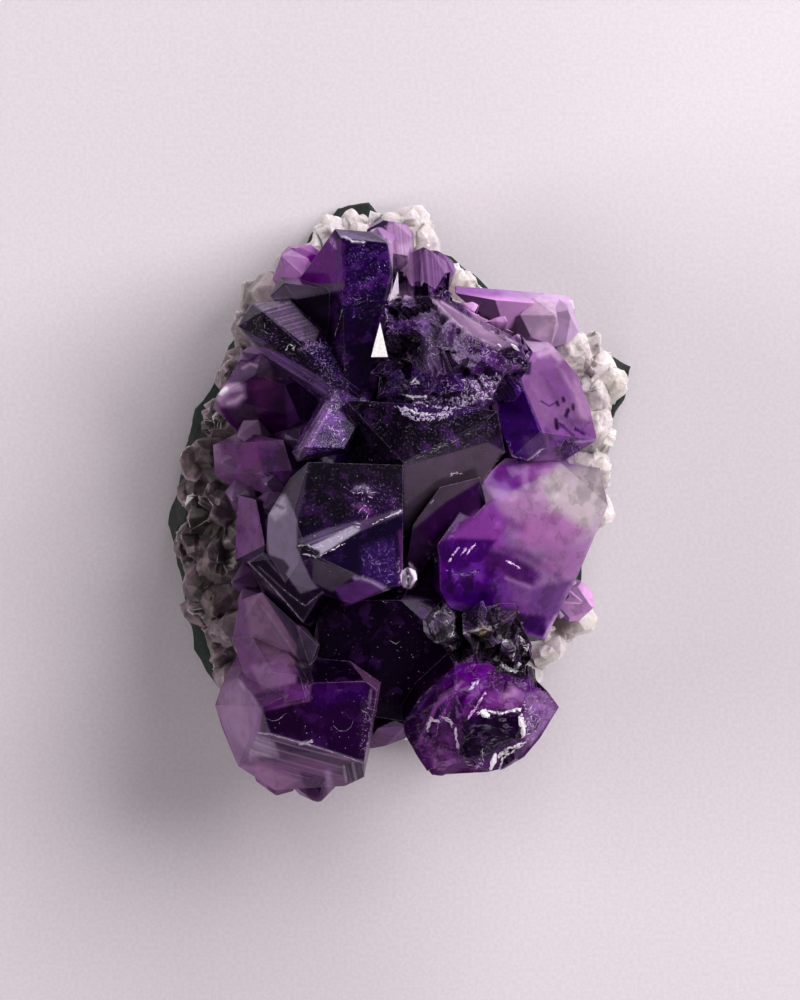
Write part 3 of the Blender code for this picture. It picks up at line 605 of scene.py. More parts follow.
        patch([(572, 372), (590, 396), (598, 440), (580, 428)], (172, 138, 172), 0.7, 3),
        patch([(522, 436), (546, 434), (548, 454), (528, 463)], (108, 72, 130), 0.9, 2, mottle=0.3),
        stroke([(528, 460), (534, 456), (540, 450)], 1.4, (226, 214, 230), 0.8, 0.8),
        patch([(548, 424), (596, 424), (604, 446), (570, 466), (548, 456)], (124, 84, 136), 0.7, 3,
              mottle=0.9),
        patch([(554, 440), (578, 438), (582, 454), (562, 462)], (60, 12, 82), 0.95, 2, specks=0.5,
              mottle=1.0),
        patch([(560, 416), (590, 420), (600, 440), (580, 440)], (128, 84, 142), 0.7, 3, mottle=0.7),
        stroke([(560, 424), (574, 436)], 3, (70, 24, 92), 0.8, 1.2),
        stroke([(584, 440), (594, 444)], 3.5, (80, 32, 100), 0.8, 1.5),
        stroke([(546, 430), (554, 444)], 5, (96, 50, 116), 0.7, 2),
        stroke([(541, 401), (549, 406), (557, 402)], 1.4, (54, 16, 78), 1, 0.6),
        stroke([(557, 402), (558, 405)], 3, (44, 8, 66), 1, 0.8),
        stroke([(563, 398), (564, 401)], 3.4, (44, 8, 66), 1, 0.8),
        stroke([(568, 410), (566, 416)], 4, (44, 8, 66), 1, 0.8),
        stroke([(573, 405), (573, 409)], 3, (44, 8, 66), 1, 0.8),
        stroke([(556, 420), (557, 428)], 4, (44, 8, 66), 1, 0.8),
        stroke([(576, 429), (584, 434)], 3.5, (44, 8, 66), 1, 0.8),
        stroke([(576, 442), (590, 441), (600, 440)], 2.4, (206, 180, 210), 0.7, 1.2),
    ],
    "rough crystal": [
        patch([(380, 305), (398, 298), (402, 400), (378, 396)], (30, 10, 46), 0.8, 3, specks=0.3),
        stroke([(388, 328), (402, 326), (408, 334)], 8, (124, 52, 164), 0.7, 4, specks=0.7),
        patch([(396, 300), (424, 297), (412, 318), (398, 322)], (36, 18, 52), 0.8, 2),
        patch([(415, 308), (440, 302), (462, 342), (450, 372), (420, 374), (424, 345)], (100, 84, 110),
              0.8, 5, specks=0.05, milk=1.0, mottle=0.6),
        patch([(398, 336), (420, 334), (426, 364), (400, 370)], (12, 5, 20), 0.97, 2.5, specks=0.0,
              mottle=0.2),
        patch([(446, 326), (505, 346), (500, 372), (456, 366)], (78, 42, 98), 0.7, 4, specks=0.3),
        patch([(498, 340), (524, 338), (530, 364), (506, 376)], (116, 84, 128), 0.8, 3, specks=0.4),
        patch([(521, 360), (532, 362), (530, 375), (520, 374)], (36, 14, 56), 0.9, 1.5),
        patch([(425, 374), (470, 368), (472, 394), (430, 396)], (84, 42, 120), 0.8, 4),
        patch([(466, 380), (502, 372), (504, 398), (474, 406)], (132, 92, 150), 0.75, 4, specks=0.5),
        patch([(404, 392), (440, 396), (474, 402), (500, 396), (470, 412), (430, 420), (404, 412)],
              (120, 92, 136), 0.7, 4, specks=0.5),
        patch([(384, 368), (424, 372), (428, 388), (392, 392)], (60, 20, 100), 0.85, 3, specks=0.7),
        # the grey-mauve strip is a painted reflection, and the light lines along its ridge painted
        # highlights
        patch(roughStrip, (134, 110, 138), 1, 1.2, milk=1.0, mottle=0.0, specks=0.0),
        stroke([(432, 298), (450, 316), (470, 334), (496, 346)], 1.2, (196, 180, 196), 0.5, 0.8),
        stroke([(440, 301), (474, 322), (518, 344)], 1.4, (190, 172, 192), 0.7, 0.8),
        patch([(464, 318), (476, 316), (496, 336), (480, 334)], (164, 140, 164), 0.6, 2),
        patch([(440, 362), (466, 352), (472, 370), (448, 376)], (18, 7, 28), 0.95, 2.5, specks=0.0,
              mottle=0.2),
        patch([(430, 372), (446, 370), (448, 388), (434, 390)], (88, 44, 96), 0.8, 3),
        patch([(384, 378), (440, 378), (460, 392), (440, 398), (392, 396)], (40, 10, 68), 0.8, 3,
              specks=0.4),
        patch([(392, 398), (470, 402), (500, 396), (466, 416), (412, 418)], (58, 22, 92), 0.7, 3),
        patch([(456, 330), (480, 338), (470, 350), (452, 344)], (44, 22, 56), 0.7, 3),
        patch([(476, 352), (500, 354), (498, 372), (474, 370)], (96, 44, 124), 0.7, 4),
        patch([(504, 350), (522, 346), (524, 360), (508, 364)], (60, 24, 78), 0.7, 2),
    ],
    "speck crystal": [
        patch([(404, 566), (410, 562), (417, 570), (418, 584), (412, 590), (403, 587), (400, 576)],
              (232, 220, 236), 1, 0.8, milk=1.0, mottle=0.2),
        stroke([(407, 568), (412, 578), (408, 587)], 3, (52, 38, 62), 0.9, 1),
        stroke([(403, 574), (406, 584)], 2.2, (228, 220, 232), 0.8, 0.8),
    ],
    "low pit": [
        patch([(410, 680), (450, 676), (450, 712), (412, 720)], (44, 14, 46), 0.6, 8),
    ],
    "crumbs": [
        patch([(454, 606), (500, 604), (530, 618), (516, 628), (470, 618)], (40, 26, 44), 0.8, 2),
        patch([(468, 632), (500, 626), (504, 640), (484, 652)], (74, 62, 66), 0.9, 1.2, milk=1.0),
        patch([(496, 608), (518, 606), (520, 628), (504, 632)], (66, 52, 64), 0.8, 1.5),
        patch([(486, 654), (512, 646), (520, 668), (498, 664)], (60, 42, 58), 0.8, 2),
        patch([(424, 616), (450, 610), (462, 618), (452, 644), (432, 640)], (92, 86, 96), 0.8, 2,
              along=((430, 616), (436, 640))),
        patch([(464, 628), (508, 622), (510, 650), (478, 656)], (54, 48, 54), 0.9, 2, specks=0.0),
        stroke([(462, 634), (478, 630), (494, 626)], 2.2, (206, 200, 196), 0.9, 1),
        stroke([(480, 634), (488, 631)], 4, (190, 176, 120), 0.8, 1.5),
        stroke([(500, 648), (506, 640), (516, 644)], 3, (170, 164, 172), 0.7, 1.5),
    ],
    "chunk": [
        # the light streaks down the chunk's flutes are painted highlights
        patch([(440, 700), (456, 664), (490, 662), (484, 690), (458, 716)], (116, 26, 146), 0.8, 5,
              mottle=0.6),
        patch([(404, 730), (428, 694), (446, 700), (428, 745)], (64, 18, 84), 0.85, 3),
        stroke([(460, 668), (430, 694), (408, 720)], 4, (90, 50, 130), 0.7, 1.5),
        stroke([(458, 680), (430, 706), (412, 740)], 4, (60, 12, 72), 0.9, 1.5),
        stroke([(462, 682), (436, 706), (420, 742)], 4, (168, 110, 178), 0.85, 1.5),
        stroke([(468, 684), (448, 706), (434, 730)], 6, (110, 56, 120), 0.8, 2),
        stroke([(474, 682), (458, 704), (450, 724)], 6, (54, 8, 70), 0.9, 2),
        stroke([(484, 680), (474, 698), (464, 716)], 5, (124, 62, 138), 0.8, 1.5),
        patch([(424, 740), (452, 736), (456, 764), (434, 774)], (124, 66, 136), 0.8, 3, mottle=0.6),
        stroke([(440, 750), (436, 764)], 6, (160, 110, 166), 0.6, 3),
        patch([(486, 692), (520, 686), (526, 706), (482, 710)], (122, 66, 130), 0.9, 3),
        stroke([(504, 696), (514, 692)], 8, (164, 120, 166), 0.8, 3),
        patch([(490, 676), (530, 678), (556, 700), (520, 688)], (72, 22, 88), 0.7, 3),
        patch([(463, 716), (486, 716), (520, 712), (524, 736), (516, 742), (494, 752), (484, 762),
              (462, 758)], (34, 8, 48), 1, 1.2, milk=0.8, specks=0.0, mottle=0.3),
        patch([(526, 694), (545, 690), (560, 708), (530, 746), (524, 735)], (150, 114, 162), 0.85, 3,
              specks=0.5, mottle=1.0),
        stroke([(538, 696), (548, 704), (556, 708)], 6, (96, 66, 108), 0.6, 2),
        stroke([(532, 722), (540, 712)], 6, (84, 40, 98), 0.7, 2.5),
        patch([(500, 752), (518, 744), (520, 758), (506, 768)], (58, 18, 74), 0.8, 2),
    ],
}

everyTouch = [touch for group in touches.values() for touch in group]

# The amethyst. Lengths are in mm; sharp, band, calmSoft and the width in bulgeEdge are in steps of
# the view; warp, striae and density are counts for each metre, and bend is in metres.
amethyst = {
    "coarse": 0.5, "fine": 0.29,                # longest edges seen from above, fine beside sharp touches
    "sharp": 1.5, "band": 2.4,                  # a touch this sharp, and how far beside it is fine
    "level": 13, "rise": 0.05,                  # where the crystals stand clear, and faces that look up
    "sameFacet": (0.9995, 0.03),                # one facet: agreement of normals, distance of planes
    "shards": (2.7, 0.75, 5),                   # broken relief: size, tilt, seed
    "splints": (0.9, 0.26, 9), "sink": 0.15,
    "calm": 0.9, "calmSoft": 4,                 # how far the smooth strip is calmed
    "bulge": (0.3, 14), "bulgeEdge": (22, 1.2),  # pale crystal: faces and level it takes, its edge
    "swells": ((2.6, 0.16, 61), (1.1, 0.05, 63)),
    "ior": 1.544, "density": 800.0, "glass": (0.72, 0.02, 0.74, 1.0),
    # deep and glow tint the darker and lighter patches of zoning; glow also stands for painted light seen
    # through the crystal
    "deep": (12, 4, 26), "glow": (190, 110, 235), "paleRoot": (214, 204, 214), "roots": (9.5, 14),
    # speck tints the painted sparkle, and worn the chipped edges with their painted highlight
    "speck": (225, 205, 232), "wornEdgeHighlight": (196, 176, 206), "wear": 0.14,
    # ridge is a painted highlight on the striae's crests, groove painted shade in their hollows
    "ridge": (226, 212, 230), "groove": (50, 32, 62), "striae": 3200.0,
    "warp": 900.0, "bend": 0.0016, "saturation": 1.06, "sheen": (0.85, 0.6, 1.0, 1),
}


# numbers the flat facets: faces are one facet while they share an edge and a plane
def numberFacets(bm):
    agreement, apart = amethyst["sameFacet"]
    layer = bm.faces.layers.int.new("facet")
    count = 0
    for first in bm.faces:
        if first[layer]:
            continue
        count += 1
        first[layer] = count
        middle = first.calc_center_median()
        queue = [first]
        while queue:
            for edge in queue.pop().edges:
                for other in edge.link_faces:
                    if other[layer] == 0 and other.normal.dot(first.normal) > agreement \
                            and abs((other.calc_center_median() - middle).dot(first.normal)) < apart:
                        other[layer] = count
                        queue.append(other)
    return layer, count + 1


# inside a polygon: an odd number of its sides are crossed on the way out
def inside(points, polygon):
    corners = np.array(polygon, float)
    after = np.roll(corners, -1, axis=0)
    x, y = points[:, 0:1], points[:, 1:2]
    spans = (corners[:, 1] > y) != (after[:, 1] > y)
    rise = np.where(after[:, 1] == corners[:, 1], 1, after[:, 1] - corners[:, 1])
    crossing = corners[:, 0] + (y - corners[:, 1]) * (after[:, 0] - corners[:, 0]) / rise
    return (spans & (x < crossing)).sum(axis=1) % 2 == 1


# each facet's middle and normal, its faces weighted by their areas
def facetCentres(bm, layer, count):
    sums = np.zeros((count, 7))
    for face in bm.faces:
        area = face.calc_area()
        sums[face[layer]] += (*(face.calc_center_median() * area), *(face.normal * area), area)
    weight = np.maximum(sums[:, 6:7], 1e-9)
    return sums[:, 0:3] / weight, sums[:, 3:6] / weight


# one look for every facet: the last region that holds its middle, then the facets named singly
def chooseLooks(bm, layer, count):
    centres, normals = facetCentres(bm, layer, count)
    seen = seenAt(centres)
    chosen = [looseLook] * count
    upward = (normals[:, 2] > 0.02) & (centres[:, 2] > 10)
    for polygon, regionLook in regions.values():
        for index in np.nonzero(inside(seen, polygon) & upward)[0]:
            chosen[index] = regionLook
    tree = BVHTree.FromBMesh(bm)
    bm.faces.ensure_lookup_table()
    for name, (point, facetLook) in facets.items():
        start, direction = sightLine(*point)
        index = tree.ray_cast(Vector(start), Vector(direction))[2]
        if index is None:
            print("no facet under", name)
        else:
            chosen[bm.faces[index][layer]] = facetLook
    return chosen


# distance from points to a line of points, in steps of the view
def lineDistance(points, line):
    line = np.array(line, float)
    best = np.full(len(points), 1e9)
    for start, end in zip(line[:-1], line[1:]):
        run = end - start
        share = np.clip(((points - start) @ run) / (run @ run), 0, 1)
        best = np.minimum(best, np.linalg.norm(points - start - share[:, None] * run, axis=1))
    return best


# the line that a touch follows: a stroke's own, or a patch's closed outline
def touchLine(touch):
    return touch["corners"] + touch["corners"][:1] if "corners" in touch else touch["points"]


# the points that lie within reach of a line's box
def around(seen, line, reach):
    low, high = np.min(line, axis=0) - reach, np.max(line, axis=0) + reach
    return ((seen > low) & (seen < high)).all(axis=1)


# how strongly a touch lies on each point: 1 inside, falling to 0 across its soft edge
def touchWeight(points, touch):
    edge = lineDistance(points, touchLine(touch))
    if "corners" in touch:
        depth = np.where(inside(points, touch["corners"]), edge, -edge)
    else:
        depth = touch["width"] / 2 - edge
    share = np.clip(0.5 + depth / (2 * touch["soft"]), 0, 1)
    return share * share * (3 - 2 * share) * touch["amount"]


# a level vector across the striae, from two points of the view along them
def acrossVector(line):
    if not line:
        return np.zeros(3)
    start, end = np.array(line, float)
    run = end - start
    return np.array([run[1], run[0], 0]) / np.linalg.norm(run)


# every face corner's values: the looks first, then the touches over them
def paintCorners(chosen, facetOf, seen, upward):
    values = {key: np.array([entry[key] for entry in chosen], float)[facetOf]
              for key in ("milk", "mottle", "specks", "root")}
    colour = np.array([tone(*entry["tint"])[:3] for entry in chosen])[facetOf]
    values["grain"] = np.array([acrossVector(entry["lines"]) for entry in chosen])[facetOf]
    for index, entry in enumerate(chosen):
        if entry["fade"]:
            mine = np.nonzero(facetOf == index)[0]
            start, end, far = (np.array(part, float) for part in entry["fade"])
            run = end - start
            share = np.clip(((seen[mine] - start) @ run) / (run @ run), 0, 1)
            colour[mine] += (np.array(tone(*far)[:3]) - colour[mine]) * share[:, None]
    for touch in everyTouch:
        reach = touch["soft"] + touch.get("width", 0)
        near = np.nonzero(around(seen, touchLine(touch), reach) & upward)[0]
        weight = touchWeight(seen[near], touch)
        colour[near] += (np.array(tone(*touch["tint"])[:3]) - colour[near]) * weight[:, None]
        for key, value in touch["extra"].items():
            if key == "along":
                values["grain"][near[weight > 0.5]] = acrossVector(value)
            else:
                values[key][near] += (value - values[key][near]) * weight
    values["tint"] = np.concatenate([colour, np.ones((len(colour), 1))], axis=1)
    return values


# faces that show from above, where the crystals stand clear of the quartz
def showing(centres, rise):
    return (rise > amethyst["rise"]) & (centres[:, 2] > amethyst["level"])


# those of them beside the sharp edge of a touch
def besideSharpEdge(centres, rise):
    seen = seenAt(centres)
    beside = np.zeros(len(seen), bool)
    for touch in everyTouch:
        if touch["soft"] <= amethyst["sharp"]:
            line = touchLine(touch)
            reach = amethyst["band"] + touch.get("width", 0) / 2
            near = np.nonzero(around(seen, line, reach))[0]
            beside[near] |= lineDistance(seen[near], line) < reach
    return beside & showing(centres, rise)


# the pale crystal bulges evenly: its ridge sinks to z = a + bx + cy + dxx + exy + fyy
def softenBigRight(bm):
    at = places(bm)
    facing = np.array([min(face.normal.z for face in vertex.link_faces) for vertex in bm.verts])
    seen = seenAt(at)
    outline = regions["big right"][0]
    steepest, level = amethyst["bulge"]
    mine = np.nonzero(inside(seen, outline) & (facing > steepest) & (at[:, 2] > level))[0]
    x, y, z = (at[mine] - at[mine].mean(axis=0)).T
    terms = np.stack([np.ones_like(x), x, y, x * x, x * y, y * y], axis=1)
    smooth = terms @ np.linalg.lstsq(terms, z, rcond=None)[0]
    width, ease = amethyst["bulgeEdge"]
    share = np.clip(lineDistance(seen[mine], outline + outline[:1]) / width, 0, 1) ** ease
    lumps = sum(smoothNoise(at[mine], *swellOf) for swellOf in amethyst["swells"])
    bm.verts.ensure_lookup_table()
    for index, shift in zip(mine, (smooth - z + lumps) * share):
        bm.verts[index].co.z += shift


# the relief of broken crystals: tilted planes at two sizes, calmed along the smooth strip
def breakSurfaces(bm, layer, chosen):
    at = places(bm)
    broken = np.array([entry["broken"] for entry in chosen])
    share = np.array([min(broken[face[layer]] for face in vertex.link_faces) for vertex in bm.verts])
    strip = patch(roughStrip, None, amethyst["calm"], amethyst["calmSoft"])
    depth = brokenFacets(at, *amethyst["shards"]) + brokenFacets(at, *amethyst["splints"])
    swell(bm, (depth - amethyst["sink"]) * share * (1 - touchWeight(seenAt(at), strip)))


# puts the painted values on the mesh, and gives the tree that later pieces are laid on
def paintMesh(mesh, chosen, facetOfFace):
    corners = readArray(mesh.vertices, "co", 3) / mm
    cornerVertex = readArray(mesh.loops, "vertex_index", 1, np.int32)
    upward = np.repeat(readArray(mesh.polygons, "normal", 3)[:, 2] > 0.03, 3)
    values = paintCorners(chosen, np.repeat(facetOfFace, 3), seenAt(corners)[cornerVertex], upward)
    kinds = {"tint": ("FLOAT_COLOR", "color"), "grain": ("FLOAT_VECTOR", "vector")}
    for key, array in values.items():
        kind, part = kinds.get(key, ("FLOAT", "value"))
        layer = mesh.attributes.new(key, kind, "CORNER")
        layer.data.foreach_set(part, array.astype(np.float32).ravel())
    triangles = readArray(mesh.polygons, "vertices", 3, np.int32).astype(int)
    return BVHTree.FromPolygons(corners.tolist(), triangles.tolist())


def buildAmethyst():
    bm = mergedCopy("amethyst_crystals")
    layer, count = numberFacets(bm)
    chosen = chooseLooks(bm, layer, count)
    refine(bm, amethyst["coarse"], showing)
    refine(bm, amethyst["fine"], besideSharpEdge)
    softenBigRight(bm)
    breakSurfaces(bm, layer, chosen)
    facetOfFace = np.array([face[layer] for face in bm.faces])
    mesh = meshOf(bm, "amethystCrystals")
    mesh.attributes.remove(mesh.attributes["facet"])
    tree = paintMesh(mesh, chosen, facetOfFace)
    settle(mesh, amethystMaterial(), "amethyst_crystals")
    return tree


# striae: noise along the vector across them, nothing where that vector is zero
def striae(paint, place):
    grain = paint.attribute("grain", 1)
    across = paint.add("VectorMath", {"operation": "DOT_PRODUCT"}, {0: place, 1: grain}, 1)
    lined = paint.add("VectorMath", {"operation": "LENGTH"}, {0: grain}, 1)
    lines = paint.add("TexNoise", {"noise_dimensions": "1D"},
                      {"W": across, "Scale": amethyst["striae"], "Detail": 3.0})
    return lines, lined


# clear quartz under a milky tint: the milk, the pale roots, the painted sparkle and the worn
# edges with their painted highlight are opaque, and the rest is see-through with absorption in its bulk
def amethystMaterial():
    paint = Paint(bpy.data.materials.new("amethyst"))
    place = paint.place()
    warp = paint.add("TexNoise", None, {"Vector": place, "Scale": amethyst["warp"], "Detail": 2.0}, 1)
    bent = paint.add("VectorMath", {"operation": "MULTIPLY_ADD"},
                     {0: warp, 1: (amethyst["bend"],) * 3, 2: place})
    clouds = paint.noise(1.9, 5.0, 0.62, bent)
    shards = paint.add("TexVoronoi", None, {"Vector": bent, "Scale": amethyst["warp"]}, 1)
    shard = paint.add("SeparateColor", None, {0: shards}, 0)
    fine = paint.noise(0.22, 3.0, 0.6)
    grit = paint.noise(0.09, 2.0, 0.6)

    tint = paint.attribute("tint", 0)
    mottle = paint.attribute("mottle")
    # patchy zoning: darker patches of deep violet, and lighter ones that also stand for painted light seen
    # through the crystal
    darker = paint.mix(0.6, tint, tone(*amethyst["deep"]))
    lighter = paint.mix(0.22, tint, tone(*amethyst["glow"]))
    patches = clouds * 0.7 + shard * 0.3
    colour = paint.mix((1 - patches.between(0.3, 0.52)) * mottle, tint, darker)
    colour = paint.mix(patches.between(0.52, 0.72) * mottle, colour, lighter)

    height = paint.add("SeparateXYZ", None, {0: place}, 2)
    low, high = amethyst["roots"]
    root = (1 - height.between(low * mm, high * mm)) * paint.attribute("root")
    colour = paint.mix(root * 0.9, colour, tone(*amethyst["paleRoot"]))
    # painted sparkle: white glints of tiny facets and fractures, in the speck tint
    specks = (fine * 0.6 + grit * 0.4).between(0.56, 0.6) * paint.attribute("specks")
    colour = paint.mix(specks, colour, tone(*amethyst["speck"]))

    # worn edges: pale where the bevelled normal turns, the frosted chipped edges together with a painted
    # highlight along them
    rounded = paint.add("Bevel", {"samples": 4}, {"Radius": amethyst["wear"] * mm})
    flat = paint.add("NewGeometry", output=3)
    edge = 1 - paint.add("VectorMath", {"operation": "DOT_PRODUCT"}, {0: rounded, 1: flat}, 1)
    wornEdgeHighlight = edge.between(0.01, 0.12) * fine.between(0.3, 0.6)
    colour = paint.mix(wornEdgeHighlight * 0.5, colour, tone(*amethyst["wornEdgeHighlight"]))

    lines, lined = striae(paint, place)
    # the striae: paler on their crests as a painted highlight and darker in their hollows as painted
    # shade, besides the bump of their relief
    colour = paint.mix(lines.between(0.5, 0.66) * lined * 0.12, colour, tone(*amethyst["ridge"]))
    colour = paint.mix((1 - lines.between(0.34, 0.48)) * lined * 0.2, colour, tone(*amethyst["groove"]))
    colour = paint.add("HueSaturation", None, {"Saturation": amethyst["saturation"], "Color": colour})

    bump = paint.bump(clouds, 0.15, 0.1, rounded)
    bump = paint.bump(lines * lined, 0.5, 0.05, bump)
    bump = paint.bump(fine, 0.2, 0.02, bump)
    milky = paint.add("BsdfPrincipled", None, {
        "Base Color": colour, "Roughness": 0.25, "IOR": amethyst["ior"], "Specular IOR Level": 0.12,
        "Specular Tint": amethyst["sheen"], "Normal": bump})
    clear = paint.add("BsdfPrincipled", None, {
        "Base Color": (1, 1, 1, 1), "Roughness": 0.03, "IOR": amethyst["ior"],
        "Transmission Weight": 1.0, "Normal": bump})
    milk = paint.attribute("milk") * (clouds * 0.5 + 0.75)
    opaque = milk.most(root).most(specks).most(wornEdgeHighlight * 0.5)
    surface = paint.add("MixShader", None, {0: opaque, 1: clear, 2: milky})
    volume = paint.add("VolumeAbsorption", None, {"Color": amethyst["glass"],
                                                  "Density": amethyst["density"]})
    return paint.finish(surface, volume)


# lays points of the view on the crystals: place and face direction of each, in mm
def ontoCrystals(tree, points):
    found = []
    for point in points:
        start, direction = sightLine(*point)
        place, normal, _, _ = tree.ray_cast(Vector(start), Vector(direction))
        if place is not None and normal.z > 0.02:
            found.append((*place, *normal))
    return np.array(found).reshape(-1, 6)


# a line of points walked at an even spacing
def evenly(line, spacing):
    line = np.array(line, float)
    lengths = np.r_[0, np.cumsum(np.linalg.norm(np.diff(line, axis=0), axis=1))]
    stops = np.linspace(0, lengths[-1], max(int(lengths[-1] / spacing) + 1, 3))
    return np.stack([np.interp(stops, lengths, line[:, k]) for k in (0, 1)], axis=1)


# faces of a closed tube of rings, its first and last ring capped
def ringsToFaces(ringCount, sides, first):
    ring, side = np.meshgrid(np.arange(ringCount - 1), np.arange(sides), indexing="ij")
    here = ring * sides + side
    beside = ring * sides + (side + 1) % sides
    quads = np.stack([here, beside, beside + sides, here + sides], axis=-1).reshape(-1, 4)
    last = first + (ringCount - 1) * sides
    return (quads + first).tolist() + [list(range(first, first + sides))[::-1],
                                       list(range(last, last + sides))]


# A shard or thread laid on the crystals: an uneven five-sided ellipse swept along the line and
# thin at both ends. Without a spacing it runs straight between the line's ends.
def splinter(tree, line, width, height, random, spacing, ragged):
    found = ontoCrystals(tree, evenly(line, spacing) if spacing else line)
    if len(found) < 3 or np.abs(np.diff(found[:, 2])).max() > 1.2:     # it would span a drop
        return None
    if not spacing:
        found[1] = (found[0] + found[2]) / 2
    path, up = found[:, :3], found[:, 3:]
    run = np.gradient(path, axis=0)
    run /= np.maximum(np.linalg.norm(run, axis=1, keepdims=True), 1e-6)
    side = np.cross(run, up)
    side /= np.maximum(np.linalg.norm(side, axis=1, keepdims=True), 1e-6)
    taper = np.sin(np.linspace(0.2, math.pi - 0.2, len(path))) ** 0.7
    angle = np.linspace(0, 2 * math.pi, 6)[:-1]
    uneven = 1 + ragged * (random.random((len(path), 5)) - 0.5)
    out = np.cos(angle) * uneven * taper[:, None] * width / 2
    rise = np.sin(angle) * uneven * taper[:, None] * height
    return (path[:, None] + side[:, None] * out[..., None] + up[:, None] * rise[..., None]).reshape(-1, 3)


# one mesh of all the splinters that were found a place
def meshOfSplinters(name, parts, tints=None):
    faces, first = [], 0
    for points in parts:
        faces += ringsToFaces(len(points) // 5, 5, first)
        first += len(points)
    if tints:
        tints = [tint for tint, points in zip(tints, parts) for _ in points]
    return newMesh(name, np.concatenate(parts), faces, tints)


